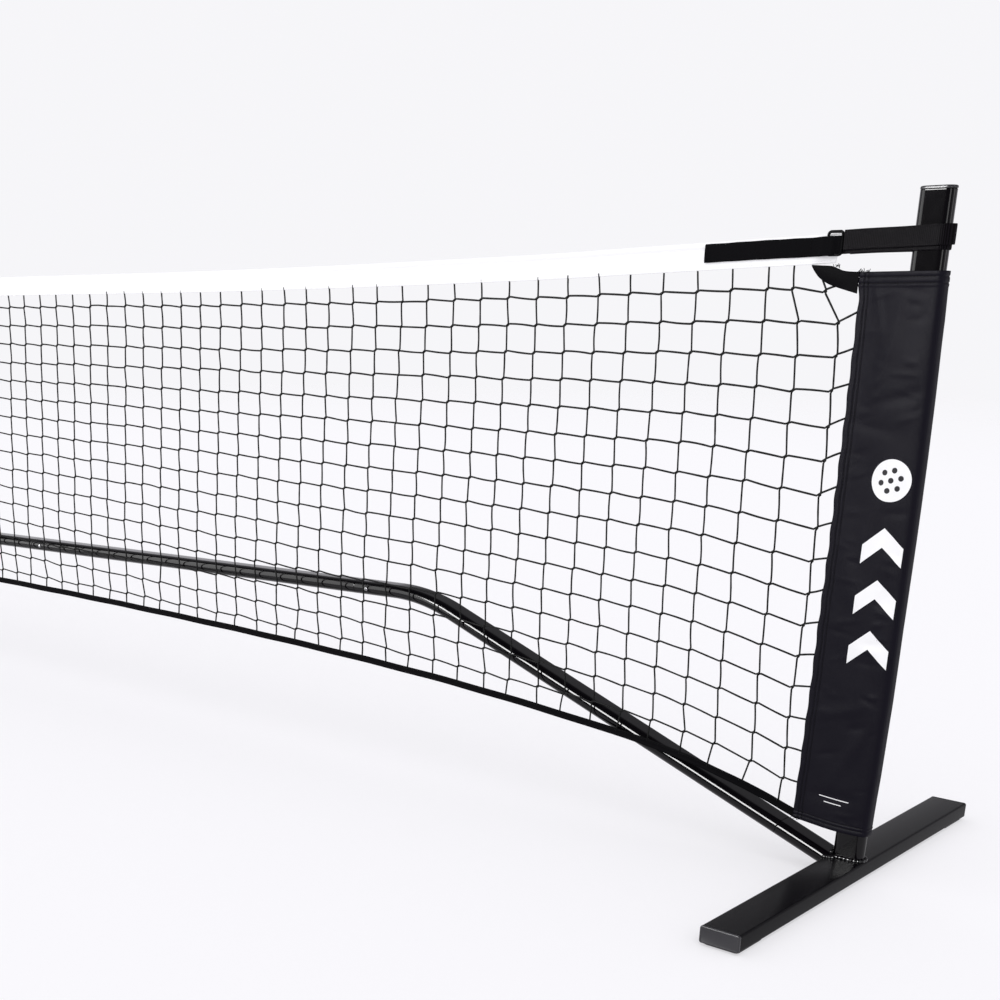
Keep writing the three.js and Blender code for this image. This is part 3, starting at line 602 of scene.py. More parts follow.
def button_mesh(p, sgn):
    o = TUBE_W / 2 + 2.2
    i = (TUBE_W - 4 - 4.4) / 2 - 4.3
    prof = [(0.01, i), (5.2, i), (5.2, i + 2.0), (3.85, i + 2.2), (3.85, o - 2.5), (3.75, o - 1.7), (3.4, o - 0.9), (2.8, o - 0.4), (1.9, o - 0.1), (0.9, o), (0.01, o + 0.02)]
    a = 2 * math.pi * np.arange(28) / 28
    rings = [np.stack([p[0] + r * np.cos(a), np.full(28, sgn * y), p[2] + r * np.sin(a)], 1) for r, y in prof]
    return loft_fast(rings)


for nm, p, sgn in (("stub", but0, 1), ("bend", but1, -1), ("run", but2, -1), ("middle", but3, -1)):
    pair(nm + "_hole_{side}", hole_shade_disc(p, sgn), HOLE_SHADE, "frame", angle=None)
    pair(nm + "_snap_{side}", button_mesh(p, sgn), STEEL, nm + "_button_{side}", [nm + "_button_{side}"], angle=50)

# middle upright
top_tube = midz + FALL * 18 + TUBE_H / 2
a = 2 * math.pi * np.arange(32) / 32
def round_rings(cx, cy, prof):
    return [np.stack([cx + r * np.cos(a), cy + r * np.sin(a), np.full(32, z)], 1) for r, z in prof]
make("upright_socket", loft_fast(round_rings(0, 13.5, [(7.9, top_tube + 33), (9.9, top_tube + 33), (10.4, top_tube + 32.4), (10.5, top_tube + 30), (10.5, top_tube - 0.6), (7.9, top_tube - 0.6)]), close=True), POWDER, "frame", ["upright_collar"])
make("upright_skin", loft_fast(round_rings(0, 13.5, [(7.0, top_tube + 1), (7.5, top_tube + 1.5), (7.5, 400), (7.5, 600), (7.5, 857.6), (7.1, 858)])), POWDER, "frame", ["middle_upright"])
make("upright_knob", loft_fast(round_rings(0, 13.5, [(7.6, 858.4), (7.95, 859), (7.95, 864), (7.3, 866), (5.6, 867.4), (3, 868), (0.01, 868.1)])), PLASTIC, "frame", ["upright_cap"])
mw = Soup()
cc = [(10.6 * math.cos(t), 13.5 + 10.6 * math.sin(t), top_tube + 0.6) for t in np.linspace(0, 2 * math.pi, 60) if 13.5 + 10.6 * math.sin(t) < 25]
mw.add(*weld("w", cc, (0, 0, 1), 1.6))
make("upright_weld", mw, WELD, "frame")


# the sleeve's edges and how it hangs, used by the twine that is sewn into it
SX0, SX1 = FOOT_X - 91, FOOT_X + 31.6
HANG_Z = [70, 100, 128, 160, 217, 275, 320, 380, 440, 508, 560, 620, 660, 700, 740, 770, 800, 830, 861]
HANG_LEFT = [-1.5, -1.5, -1.0, 0.0, 0.5, 1.6, 1.8, 1.9, 3.0, 3.5, 3.5, 3.8, 4.0, 3.9, 3.7, 3.8, 3.4, 1.2, 0.0]
HANG_RIGHT = [0.5, 1.0, 1.7, 2.9, 4.0, 5.2, 5.4, 5.4, 5.9, 6.3, 6.1, 5.6, 5.0, 4.4, 3.3, 2.4, 2.0, 0.8, 0.0]


def shear(z, x):
    """How far the cloth is dragged sideways: it leans with the post and bellies between its ends."""
    z, x = np.asarray(z, float), np.asarray(x, float)
    t = np.clip((x - SX0) / (SX1 - SX0), 0, 1)
    return -4.0 * (861.0 - z) / 790.0 + (1 - t) * np.interp(z, HANG_Z, HANG_LEFT) + t * np.interp(z, HANG_Z, HANG_RIGHT)


# ---------------------------------------------------------------- the net
N_HALF = 57
D_COL = np.array([112 + 57.2 * j if j <= 34 else 112 + 57.2 * 34 + 57.6 * (j - 34) for j in range(N_HALF)])
D_ALL = np.r_[D_COL, D_COL[::-1]]
SIDE = np.r_[np.ones(N_HALF), -np.ones(N_HALF)]
NC, NR = 2 * N_HALF, 16


def row_z(i, d):
    zt, zb = band_low(d), hem_top(d)
    k = smoothstep((d - 180) / 1100)
    g0, g1 = 0.64 - 0.02 * k, 0.79 - 0.29 * k
    p = (zt - zb) / (g0 + 15 + g1)
    return zt - (g0 + i) * p


K = np.zeros((NC, NR, 3))
for c in range(NC):
    d = D_ALL[c]
    lean = rng.normal(0, 0.5)
    for i in range(NR):
        z = float(row_z(i, d))
        wild = 1 + 1.3 * max(0.0, (i - 9) / 6) * min(1.0, d / 900)
        dx = rng.normal(0, 0.75) * wild + lean
        dz = rng.normal(0, 0.55) * wild
        K[c, i] = ((FOOT_X - d) * SIDE[c] + dx, 0, z + dz)
        if i == 15:
            K[c, i, 0] += rng.normal(0, 1.2)
for c in (0, NC - 1):
    s = SIDE[c]
    K[c, 0] = ((FOOT_X - 137) * s, 0, 837)
    K[c, 1] = ((FOOT_X - 113) * s, 0, 793)
K[1, 0, 2] -= 1.0
for c, inner in ((0, 1), (NC - 1, NC - 2)):
    s = SIDE[c]
    for i in range(2, NR):
        K[c, i, 2] += 4.6 - 0.14 * i
        K[c, i, 0] += s * float(np.interp(i, [2, 4, 8, 10, 12, 13, 14, 15], [0.0, 1.5, 0.5, -2.0, -7.5, -8.3, -5.0, -8.0]))
    K[c, 1, 2] += 2.0
    K[inner, 0, 0] -= s * 17.0
    K[inner, 1, 0] -= s * 4.5
for c in range(NC):
    d = FOOT_X - abs(K[c, :, 0])
    K[c, :, 1] = net_y(d, K[c, :, 2]) + rng.normal(0, 0.35, NR)


def knot_template():
    """A small hard knot: a lumpy core, a diagonal wrap and a cross wrap."""
    s = Soup()
    nu, nv = 8, 6
    rings = []
    for j in range(nv + 1):
        ph = -math.pi / 2 + math.pi * j / nv
        rr_ = max(math.cos(ph), 0.02)
        ring = []
        for k in range(nu):
            t = 2 * math.pi * k / nu
            ring.append((2.35 * rr_ * math.cos(t), 1.9 * rr_ * math.sin(t), 2.05 * math.sin(ph)))
        rings.append(np.array(ring))
    s.add(*loft_fast(rings))
    for tilt, rad in ((0.75, 1.75), (-0.6, 1.45)):
        t = 2 * math.pi * np.arange(11) / 11
        loop = np.stack([rad * np.cos(t), 1.55 * np.sin(t), 0 * t], 1)
        cs, sn = math.cos(tilt), math.sin(tilt)
        loop = np.stack([loop[:, 0] * cs, loop[:, 1], loop[:, 0] * sn], 1)
        s.add(*tube(loop, 0.98, 5, side=(-sn, 0, cs), close=True))
    return s.arrays()


KV, KF = knot_template()
KF4 = np.array([f for f in KF if len(f) == 4])
KN = [f for f in KF if len(f) != 4]
TW = 1.5


def twine_tube(soup, pts, side, n=6):
    pts = np.asarray(pts, float)
    r = TW * (1 + rng.normal(0, 0.03, len(pts)))
    v, f = tube(pts, r, n, side=side)
    soup.add(v, f)


def strand(points, jog, axis, bow=0.5, per=4):
    """Joins knots; the strand enters each knot on one side and leaves on the other, and bows a little between."""
    out = []
    pts = np.asarray(points, float)
    for k in range(len(pts) - 1):
        a_, b_ = pts[k].copy(), pts[k + 1].copy()
        first, last = k == 0, k == len(pts) - 2
        a_[axis] += 0 if first else jog
        b_[axis] -= 0 if last else jog
        mid = rng.normal(0, bow)
        for m in range(per + 1):
            t = m / per
            t = 0.08 + 0.84 * t if not (first and m == 0) and not (last and m == per) else t
            p = a_ + (b_ - a_) * t
            p[axis] += mid * math.sin(math.pi * t)
            out.append(p)
    return np.array(out)


GROUPS = 8
groups = [Soup() for _ in range(GROUPS)]
edges = [round(NC * g / GROUPS) for g in range(GROUPS + 1)]
def group_of(c):
    return max(g for g in range(GROUPS) if c >= edges[g])

for c in range(NC):
    d, s = D_ALL[c], SIDE[c]
    top_x = (FOOT_X - d) * s + rng.normal(0, 0.4)
    top = np.array([top_x, 0.0, float(band_low(d)) + 5])
    if c in (0, NC - 1):
        top = np.array([(FOOT_X - 150) * s, -1.2, 866.0])
    if c in (1, NC - 2):
        top[0] -= s * 19.0
    edge_c = min(c, NC - 1 - c)
    bx = K[c, -1, 0] - s * (7.5 if edge_c < 6 else 3.0) + rng.normal(0, 2.0)
    bd = FOOT_X - abs(bx)
    bot = np.array([bx, float(hem_y(bd)), float(hem_top(bd)) - 5])
    pts = np.concatenate([[top], K[c], [bot]])
    pts2 = strand(pts, -1.7, 0)
    twine_tube(groups[group_of(c)], pts2, (1, 0, 0))
for i in range(NR):
    for g in range(GROUPS):
        c0, c1 = edges[g], edges[g + 1]
        ids = list(range(c0, min(c1 + 1, NC)))
        pts = [K[c, i] for c in ids]
        zr = 809 - 47.6 * (i - 1) + float(np.interp(i, [3, 4, 6, 7, 8, 9, 11, 12, 13, 14, 15], [2.0, 3.6, 4.4, 0.7, -2.9, -0.8, -3.6, -5.4, -9.0, -12.4, -14.0])) if i else 845.0
        e = np.array([SX0 + 4.0 + float(shear(zr, SX0)), 0.0, zr]) if i else P(118, -0.6, zr)
        if g == 0:
            pts = [e] + pts
        if g == GROUPS - 1:
            pts = pts + [e * (-1, 1, 1)]
        # reversed so that x grows along the strand
        pts = np.array(pts)[::-1]
        pts2 = strand(pts, 2.1, 2)
        twine_tube(groups[g], pts2, (0, 0, 1))
for c in range(NC):
    g = groups[group_of(c)]
    for i in range(NR):
        rot = rng.normal(0.0, 0.25)
        cs, sn = math.cos(rot), math.sin(rot)
        k = KV * (1 + rng.normal(0, 0.05))
        k = np.stack([k[:, 0] * cs - k[:, 2] * sn, k[:, 1], k[:, 0] * sn + k[:, 2] * cs], 1) + K[c, i]
        base = g.n
        g.add(k, KF4)
        if KN:
            g.f.append([[q + base for q in f] for f in KN])
for g in range(GROUPS):
    make(f"net_twine_{g + 1}", groups[g], TWINE, "net", ["net_mesh"] if g == 0 else (), angle=None)

# headband: folded tape with the cord's bulge along the top
H_SEC = np.array([(-0.5, 0.0), (-1.15, 0.5), (-1.35, 1.6), (-1.2, 3.6), (-1.45, 6), (-1.5, 13), (-1.45, 20), (-1.4, 26.2), (-1.15, 27.8), (-1.5, 29.4), (-2.2, 31.4), (-2.65, 33.6), (-2.6, 35.6), (-1.9, 37.5), (-0.7, 38.5),
                  (0.7, 38.5), (1.9, 37.5), (2.6, 35.6), (2.65, 33.6), (2.2, 31.4), (1.5, 29.4), (1.15, 27.8), (1.4, 26.2), (1.45, 20), (1.5, 13), (1.45, 6), (1.2, 3.6), (1.35, 1.6), (1.15, 0.5), (0.5, 0.0)])
ds = np.r_[np.linspace(121, 160, 6), np.arange(185, 3353, 30)]
xs = np.r_[FOOT_X - ds, 0, -(FOOT_X - ds[::-1])]
ph = rng.uniform(0, 6.28, 4)
def band_wave(x, z):
    w = np.clip(z / 20, 0, 1)
    return (0.5 * np.sin(x / 83 + ph[0]) + 0.35 * np.sin(x / 37 + ph[1])) * (1 - 0.6 * w)
rings = []
for x in xs:
    d = FOOT_X - abs(x)
    zl = float(band_low(d))
    shift = np.zeros(len(H_SEC))
    if d < 135:      # the end is cut on a slant
        shift = -np.sign(x) * (135 - d) / 14 * (38.6 - H_SEC[:, 1]) * 0.16
    rings.append(np.stack([x + shift, H_SEC[:, 0] + band_wave(x, H_SEC[:, 1]), zl + H_SEC[:, 1]], 1))
make("headband_tape", loft_fast(rings), VINYL, "net", ["headband", "head_cord"], angle=60)
st = Soup()
for z, y in ((3.6, 1.2), (27.8, 1.15)):
    xx = np.linspace(FOOT_X - 132, -(FOOT_X - 132), 700)
    zz = band_low(FOOT_X - np.abs(xx)) + z
    for sgn in (-1, 1):
        pts = np.stack([xx, band_wave(xx, np.full(len(xx), z)) + sgn * (y + 0.12), zz], 1)
        v, f = dashes(pts, np.tile([0, sgn, 0], (len(xx), 1)), 3.0, 4.4, 0.8, 0.3).arrays()
        st.add(v, f)
make("headband_stitches", st, WHITE_THREAD, "net", angle=None)
# cord ends that come out of the tape
for side, s in (("right", 1), ("left", -1)):
    p0 = np.array([(FOOT_X - 128) * s, 0, float(band_low(128)) + 33.5])
    end = catmull([p0, p0 + (s * 9, 0, 0.4), p0 + (s * 13, 1.5, -0.6)], 6)
    make(f"cord_end_{side}", tube(end, 1.5, 10), CORD, "net")


# bottom band: tape folded over the last row, taller beside the sleeve
def hem_h(d):
    return 12.4 + 1.5 * (1 - smoothstep((np.asarray(d, float) - 100) / 150))


B_SEC = np.array([(-0.35, 0.0), (-1.3, 0.03), (-1.75, 0.12), (-1.6, 0.24), (-1.25, 0.36), (-1.3, 0.6), (-1.2, 0.78), (-1.35, 0.9), (-0.9, 1.0), (0.9, 1.0), (1.35, 0.9), (1.2, 0.78), (1.3, 0.6), (1.25, 0.36), (1.6, 0.24), (1.75, 0.12), (1.3, 0.03), (0.35, 0.0)])
ds = np.r_[np.linspace(93, 250, 22), np.arange(270, 3353, 30)]
xs = np.r_[FOOT_X - ds, 0, -(FOOT_X - ds[::-1])]
rings = []
for x in xs:
    d = FOOT_X - abs(x)
    zt, h = float(hem_top(d)), float(hem_h(d))
    rings.append(np.stack([np.full(len(B_SEC), x), B_SEC[:, 0] + float(hem_y(d)), zt - h + B_SEC[:, 1] * h + 0.35 * math.sin(x / 28.7)], 1))
make("bottom_tape", loft_fast(rings), TAPE, "net", ["bottom_band"], angle=60)
xx = np.linspace(FOOT_X - 96, -(FOOT_X - 96), 900)
dd = FOOT_X - np.abs(xx)
st = Soup()
for sgn in (-1, 1):
    pts = np.stack([xx, hem_y(dd) + sgn * 1.3, hem_top(dd) - hem_h(dd) * 0.22 + 0.35 * np.sin(xx / 28.7)], 1)
    st.add(*dashes(pts, np.tile([0, sgn, 0], (len(xx), 1)), 3.0, 4.4, 0.8, 0.35).arrays())
make("bottom_stitches", st, BLACK_THREAD, "net", angle=None)

# ---------------------------------------------------------------- post sleeves
Z0, Z1 = 70.5, 861.0
base_curve = catmull([(SX0 + 0.2, 0.0), (SX0 + 0.8, 1.3), (SX0 + 8, 1.7), (SX0 + 16, 2.0), (SX0 + 36, 6.6), (SX0 + 58, 12.2), (SX0 + 78, 15.6), (SX0 + 98, 16.5), (SX0 + 112, 16.1), (SX0 + 119.4, 13.4), (SX0 + 122.1, 7.4), (SX0 + 122.6, 0.0)], 14)
ridges = []
rr2 = np.random.default_rng(5)
for cx, cz, dx, dz, ln, wd, am in ((60, 770, -0.26, -1, 95, 13, 1.3), (84, 700, 0.9, 0.22, 40, 9, -1.1), (36, 660, 1, -0.15, 38, 8, -0.9), (72, 560, -0.4, -1, 80, 15, 0.9), (50, 430, 0.5, -1, 90, 14, 0.8),
                                   (90, 330, 0.3, -1, 70, 12, -0.9), (48, 250, 1, 0.35, 42, 9, 1.0), (78, 190, -0.5, -1, 60, 12, 0.9), (60, 120, 1, 0.1, 45, 9, -0.8), (34, 820, 0.25, -1, 45, 7, 0.7), (100, 480, 0.1, -1, 110, 9, -0.8)):
    n_ = math.hypot(dx, dz)
    ridges.append((SX0 + cx, cz, dx / n_, dz / n_, ln, wd, am))
for k in range(64):
    near_seam = k % 2 == 0
    t_ = rr2.normal(0.05, 0.24)
    ridges.append((SX0 + (rr2.uniform(17, 46) if near_seam else rr2.uniform(84, 116)), rr2.uniform(Z0 + 16, Z1 - 24), math.cos(t_), math.sin(t_),
                   rr2.uniform(9, 24), rr2.uniform(3.4, 6.0), rr2.choice([-1, 1]) * rr2.uniform(0.3, 0.62)))


def folds(x, z):
    """Outward swell of the cloth from soft folds, in mm."""
    out = 0.45 * np.sin(z / 61.0 + x / 47.0) + 0.3 * np.sin(z / 33.0 - x / 29.0 + 1.3) + 0.12 * np.sin(z / 11.0 + x / 17.0)
    for cx, cz, dx, dz, ln, wd, am in ridges:
        u = (x - cx) * dx + (z - cz) * dz
        w = -(x - cx) * dz + (z - cz) * dx
        out = out + am * np.exp(-(u / ln) ** 2 - (w / wd) ** 2)
    edge = np.clip((x - (SX0 + 4)) / 24, 0, 1) * np.clip((SX1 - 3 - x) / 16, 0.1, 1)
    return np.maximum(out * 1.45, -1.9) * edge


LINES_X = [SX0 + 9.5, SX0 + 15.0]
LINES_Z = [Z1 - 6.5, Z1 - 14.5, Z0 + 7.0, Z0 + 12.5]


def groove(v, lines):
    g = 0
    for l in lines:
        g = g + np.exp(-((v - l) / 1.1) ** 2)
    return g


def swell(x, z):
    s = folds(x, z)
    s = s + 0.55 * smoothstep((z - (Z1 - 20)) / 2.5) + 0.55 * smoothstep(((Z0 + 15.5) - z) / 2.5)       # hems
    s = s + 0.45 * smoothstep(((SX0 + 18) - x) / 2.0) * smoothstep((x - SX0 - 1.5) / 2.0)                  # seam allowance
    s = s - 1.05 * groove(x, LINES_X) - 0.95 * groove(z, LINES_Z)
    return s


def front_y(x, z):
    yb = np.interp(x, base_curve[:, 0], base_curve[:, 1])
    return -(yb + swell(np.asarray(x, float), np.asarray(z, float)))


def sleeve_mesh():
    # columns round the section, denser at the seams
    arc_len = np.r_[0, np.cumsum(np.linalg.norm(np.diff(base_curve, axis=0), axis=1))]
    want = list(np.linspace(0, arc_len[-1], 76))
    for l in LINES_X:
        s_at = np.interp(l, base_curve[:, 0], arc_len)
        want += [s_at - 2, s_at - 1, s_at, s_at + 1, s_at + 2]
    want = np.array(sorted(set(np.round(want, 2))))
    want = want[np.r_[True, np.diff(want) > 0.35]]
    cx = np.interp(want, arc_len, base_curve[:, 0])
    cy = np.interp(want, arc_len, base_curve[:, 1])
    front = np.stack([cx, -cy], 1)
    back = np.stack([cx[-2:0:-1], cy[-2:0:-1]], 1)
    sec = np.concatenate([front, back])
    n_out = np.roll(sec, -1, 0) - np.roll(sec, 1, 0)
    n_out = np.stack([n_out[:, 1], -n_out[:, 0]], 1)
    n_out /= np.linalg.norm(n_out, axis=1)[:, None]
    if (n_out * (sec - sec.mean(0))).sum() < 0:
        n_out = -n_out
    zs = list(np.linspace(Z0, Z1, 300))
    for l in LINES_Z:
        zs += [l - 2, l - 1, l, l + 1, l + 2]
    zs += [Z1 - 20, Z1 - 17.5, Z0 + 15.5, Z0 + 13]
    zs = np.array(sorted(set(np.round(zs, 2))))
    zs = zs[np.r_[True, np.diff(zs) > 0.35]]
    zs[0], zs[-1] = Z0, Z1
    isback = np.r_[np.zeros(len(front)), np.ones(len(back))].astype(bool)
    rings_o, rings_i = [], []
    for z in zs:
        sw = swell(sec[:, 0], np.full(len(sec), z))
        sw = np.where(isback, 0.7 * folds(sec[:, 0], np.full(len(sec), 931 - z)) + (swell(sec[:, 0], np.full(len(sec), z)) - folds(sec[:, 0], np.full(len(sec), z))), sw)
        # edge of the net-side fold wanders a little, and tucks in under the corner tab
        pull = 0.9 * math.sin(2 * math.pi * (z - 809) / 47.6) * math.exp(-((z - 500) / 420) ** 2) + 2.2 * math.exp(-((z - 828) / 12) ** 2)
        w = np.clip((SX0 + 20 - sec[:, 0]) / 20, 0, 1)
        sag = 2.0 * np.exp(-(sec[:, 0] - SX0) / 7.0) * (z < Z0 + 6) * (1 - (z - Z0) / 6)
        px = sec[:, 0] + n_out[:, 0] * sw * (np.abs(n_out[:, 0]) > 0.5) + pull * w
        py = sec[:, 1] + n_out[:, 1] * sw
        zz = z + sag
        px = px + shear(z, sec[:, 0])
        rings_o.append(np.stack([px, py, zz], 1))
        ins = np.stack([px - n_out[:, 0] * 0.9, py - n_out[:, 1] * 0.9, zz], 1)
        ins[:, 1] = np.where(isback, np.maximum(ins[:, 1], 0.12), np.minimum(ins[:, 1], -0.12))
        ins[:, 0] = np.maximum(ins[:, 0], SX0 + 1.2 + pull + shear(z, SX0))
        rings_i.append(ins)
    def soft(ring_o, ring_i, dz):
        mid = (ring_o + ring_i) / 2
        mid = mid.copy()
        mid[:, 2] += dz
        return mid
    rings = rings_o + [soft(rings_o[-1], rings_i[-1], 0.5)] + rings_i[::-1] + [soft(rings_o[0], rings_i[0], -0.5)]
    return loft_fast(rings, close=True)


pair("sleeve_cloth_{side}", sleeve_mesh(), NYLON, "net", ["post_sleeve_{side}"], angle=70)

# stitching on the sleeve, front and back
st = Soup()
def on_sleeve(x, z, sgn):
    y = front_y(x, z)
    if sgn > 0:
        yb = np.interp(x, base_curve[:, 0], base_curve[:, 1])
        y = yb + 0.7 * folds(x, 931 - z) + (swell(x, z) - folds(x, z))
    return y
for sgn in (-1, 1):
    for lx in LINES_X:
        zz = np.linspace(Z0 + 2, Z1 - 1, 260)
        pull = 0.9 * np.sin(2 * math.pi * (zz - 809) / 47.6) * np.exp(-((zz - 500) / 420) ** 2) + 2.2 * np.exp(-((zz - 828) / 12) ** 2)
        w = max(0.0, min(1.0, (SX0 + 20 - lx) / 20))
        xx = np.full(len(zz), lx)
        pts = np.stack([xx + pull * w + shear(zz, xx), on_sleeve(xx, zz, sgn), zz], 1)
        st.add(*dashes(pts, np.tile([0, sgn, 0], (len(zz), 1)), 3.3, 4.5, 1.35, 0.5).arrays())
    for lz in LINES_Z:
        xx = np.linspace(SX0 + 3, SX1 - 7, 120)
        zz = np.full(len(xx), lz)
        pts = np.stack([xx + shear(zz, xx), on_sleeve(xx, zz, sgn), zz], 1)
        st.add(*dashes(pts, np.tile([0, sgn, 0], (len(xx), 1)), 3.3, 4.5, 1.35, 0.5).arrays())
zz = np.linspace(Z1 - 18, Z1 - 3, 12)
xx = np.full(len(zz), SX0 + 61.0)
st.add(*dashes(np.stack([xx + shear(zz, xx), on_sleeve(xx, zz, -1), zz], 1), np.tile([0, -1, 0], (len(zz), 1)), 2.6, 3.4, 0.7, 0.4).arrays())
pair("sleeve_stitches_{side}", st, BLACK_THREAD, "net", angle=None)


# plain white graphic printed on the sleeve: a ball and three chevrons
def printed(us, vs_, fn, lift=0.34):
    """A patch over parameters u, v; fn gives x, z."""
    U, W = np.meshgrid(us, vs_, indexing="ij")
    x, z = fn(U, W)
    y = front_y(x, z) - lift
    v = np.stack([x + shear(z, x), y, z], -1).reshape(-1, 3)
    nu, nv = len(us), len(vs_)
    q = []
    for i in range(nu - 1):
        for j in range(nv - 1):
            q.append([i * nv + j, i * nv + j + 1, (i + 1) * nv + j + 1, (i + 1) * nv + j])
    p0, p1, p2 = v[q[0][0]], v[q[0][1]], v[q[0][2]]
    if np.cross(p1 - p0, p2 - p0)[1] > 0:
        q = [g[::-1] for g in q]
    return v, q


GX = SX0 + 84.5
gr, gd = Soup(), Soup()
ball_z, ball_r = 590.0, 29.0
gr.add(*printed(np.linspace(0.001, ball_r, 12), np.linspace(0, 2 * math.pi, 49), lambda r, t: (GX + r * np.cos(t), ball_z + r * np.sin(t))))
holes = [(0, 0)] + [(14.5, 60 * k + 15) for k in range(6)]
for r0, a0 in holes:
    hx, hz = GX + r0 * math.cos(math.radians(a0)), ball_z + r0 * math.sin(math.radians(a0))
    gd.add(*printed(np.linspace(0.001, 3.9, 4), np.linspace(0, 2 * math.pi, 21), lambda r, t: (hx + r * np.cos(t), hz + r * np.sin(t)), 0.5))
for k in range(3):
    zc = 498.0 - 73.0 * k
    for sgn in (-1, 1):
        gr.add(*printed(np.linspace(0, 1, 10), np.linspace(0, 1, 8), lambda u, w: (GX + sgn * 30 * u, zc + 27 - 26 * u - 27 * w)))
pair("sleeve_graphic_{side}", gr, PRINT, "net", angle=None)
pair("sleeve_graphic_gaps_{side}", gd, PRINT_DARK, "net", angle=None)
# two thin plain rules near the foot of the sleeve
gl = Soup()
for z, x0, x1 in ((118.5, 40, 90), (111.0, 50, 79)):
    gl.add(*printed(np.linspace(0, 1, 14), np.linspace(0, 1, 3), lambda u, w: (SX0 + x0 + (x1 - x0) * u, z + 1.3 * (w - 0.5))))
pair("sleeve_rules_{side}", gl, PRINT, "net", angle=None)

# ---------------------------------------------------------------- corner tab
up = catmull([(160.5, 871.5), (146, 870.6), (131, 869.6), (121, 866.2), (113, 863.4), (103, 862.2), (90, 861.6)], 6)
dn = catmull([(160.0, 869.5), (155, 862.5), (146, 853.5), (132, 845.8), (118, 841.2), (106, 837.8), (90, 833.5)], 6)
rings = []
for k in range(len(up)):
    a2, b2 = up[k], dn[k]
    t = k / (len(up) - 1)
    bulge = 1.6 * math.sin(math.pi * min(1.0, t * 1.1))
    out = []
    for w in np.linspace(0, 1, 7):
        q = a2 + (b2 - a2) * w
        out.append(P(q[0], -2.1 - bulge * math.sin(math.pi * w) - 0.9, q[1]))
    for w in np.linspace(1, 0, 7):
        q = a2 + (b2 - a2) * w
        out.append(P(q[0], -1.5 - bulge * math.sin(math.pi * w) * 0.9, q[1]))
    rings.append(np.array(out))
pair("corner_tape_{side}", loft_fast(rings), TAPE, "net", ["corner_tab_{side}"], angle=50)


def threads(seeds, length, radius=0.42):
    s = Soup()
    for p, dirn in seeds:
        p, dirn = np.array(p, float), np.array(dirn, float)
        pts = [p]
        for k in range(4):
            dirn = dirn + rr2.normal(0, 0.45, 3)
            dirn /= np.linalg.norm(dirn)
            pts.append(pts[-1] + dirn * length / 4)
        s.add(*tube(catmull(pts, 4), radius, 5))
    return s


seeds = []
for k in range(9):
    seeds.append((P(131 - rr2.uniform(0, 12), -2.6 + rr2.normal(0, 0.6), 867.5 + rr2.normal(0, 0.8)), (rr2.normal(0.4, 0.5), rr2.normal(-0.2, 0.3), 0.8)))
pair("tab_threads_{side}", threads(seeds, 5.0), BLACK_THREAD, "net", angle=None)
seeds = []
for k in range(12):
    seeds.append(((SX0 + rr2.choice([1.0, 9.0, 14.5, 20.0]) + rr2.normal(0, 1.2), -2.2 + rr2.normal(0, 0.5), Z1 - 0.4), (rr2.normal(0.2, 0.6), rr2.normal(0, 0.4), 0.9)))
for k in range(7):
    seeds.append(((SX0 - 4.0 + rr2.uniform(-1, 9), -3.0 + rr2.normal(0, 0.8), Z0 + 3.0), (rr2.normal(-0.2, 0.7), rr2.normal(-0.3, 0.4), -0.6)))
pair("sleeve_threads_{side}", threads(seeds, 6.0), BLACK_THREAD, "net", angle=None)

# ---------------------------------------------------------------- cinch strap
# anchor strip: sewn flat on the band, its end folded round the ring
def strip_z(d):
    return float(band_low(d)) + 23.2 - 0.9 * (1 - smoothstep((d - 130) / 120))


rings = []
prof_d = np.r_[np.linspace(329, 322, 5), np.linspace(312, 160, 28), np.linspace(156, 118.3, 23)]
for k, d in enumerate(prof_d):
    zc = strip_z(d)
    h = 12.6 + 0.15 * math.sin(d / 7.0)
    lift = 5.9 * smoothstep((160 - d) / 18) - 3.6 * smoothstep((131 - d) / 9)
    y = -3.2 - lift
    out = []
    th = 1.5 if d > 121 else 0.8
    for zz in np.linspace(-h, h, 13):
        e = 1 - (abs(zz) / h) ** 8
        out.append(P(d, y - th * (0.5 + 0.5 * e) - 0.35 * (1 - (zz / h) ** 2), zc + zz))
    for zz in np.linspace(h, -h, 13):
        e = 1 - (abs(zz) / h) ** 8
        out.append(P(d, y + 0.25 * (1 - e) , zc + zz))
    rings.append(np.array(out))
pair("anchor_tape_{side}", loft_fast(rings), HOOK, "net", ["anchor_strip_{side}"], angle=55)
st = Soup()
zz = np.linspace(-10.5, 10.5, 20)
for d in (326, 320, 164):
    pts = np.array([P(d, -3.2 - 1.5 - 0.42, strip_z(d) + z) for z in zz])
    st.add(*dashes(pts, np.tile([0, -1, 0], (len(zz), 1)), 2.4, 3.4, 0.7, 0.3).arrays())
for off in (-10.8, 10.8):
    dd = np.linspace(320, 164, 60)
    pts = np.array([P(d, -3.2 - 1.5 - 0.1, strip_z(d) + off) for d in dd])
    st.add(*dashes(pts, np.tile([0, -1, 0], (len(dd), 1)), 2.6, 3.8, 0.6, 0.25).arrays())
pair("anchor_stitches_{side}", st, BLACK_THREAD, "net", angle=None)

# wire ring
rc = rrect(21.0, 29.6, 4.0, 8)
RING_D, RING_Z, RING_Y = 127.6, 898.6, -6.6
loop = np.stack([FOOT_X - RING_D + rc[:, 0], np.full(len(rc), RING_Y), RING_Z + rc[:, 1]], 1)
pair("wire_ring_{side}", tube(loop, 2.0, 12, side=(0, 1, 0), close=True), WIRE, "net", ["strap_ring_{side}"], angle=None)


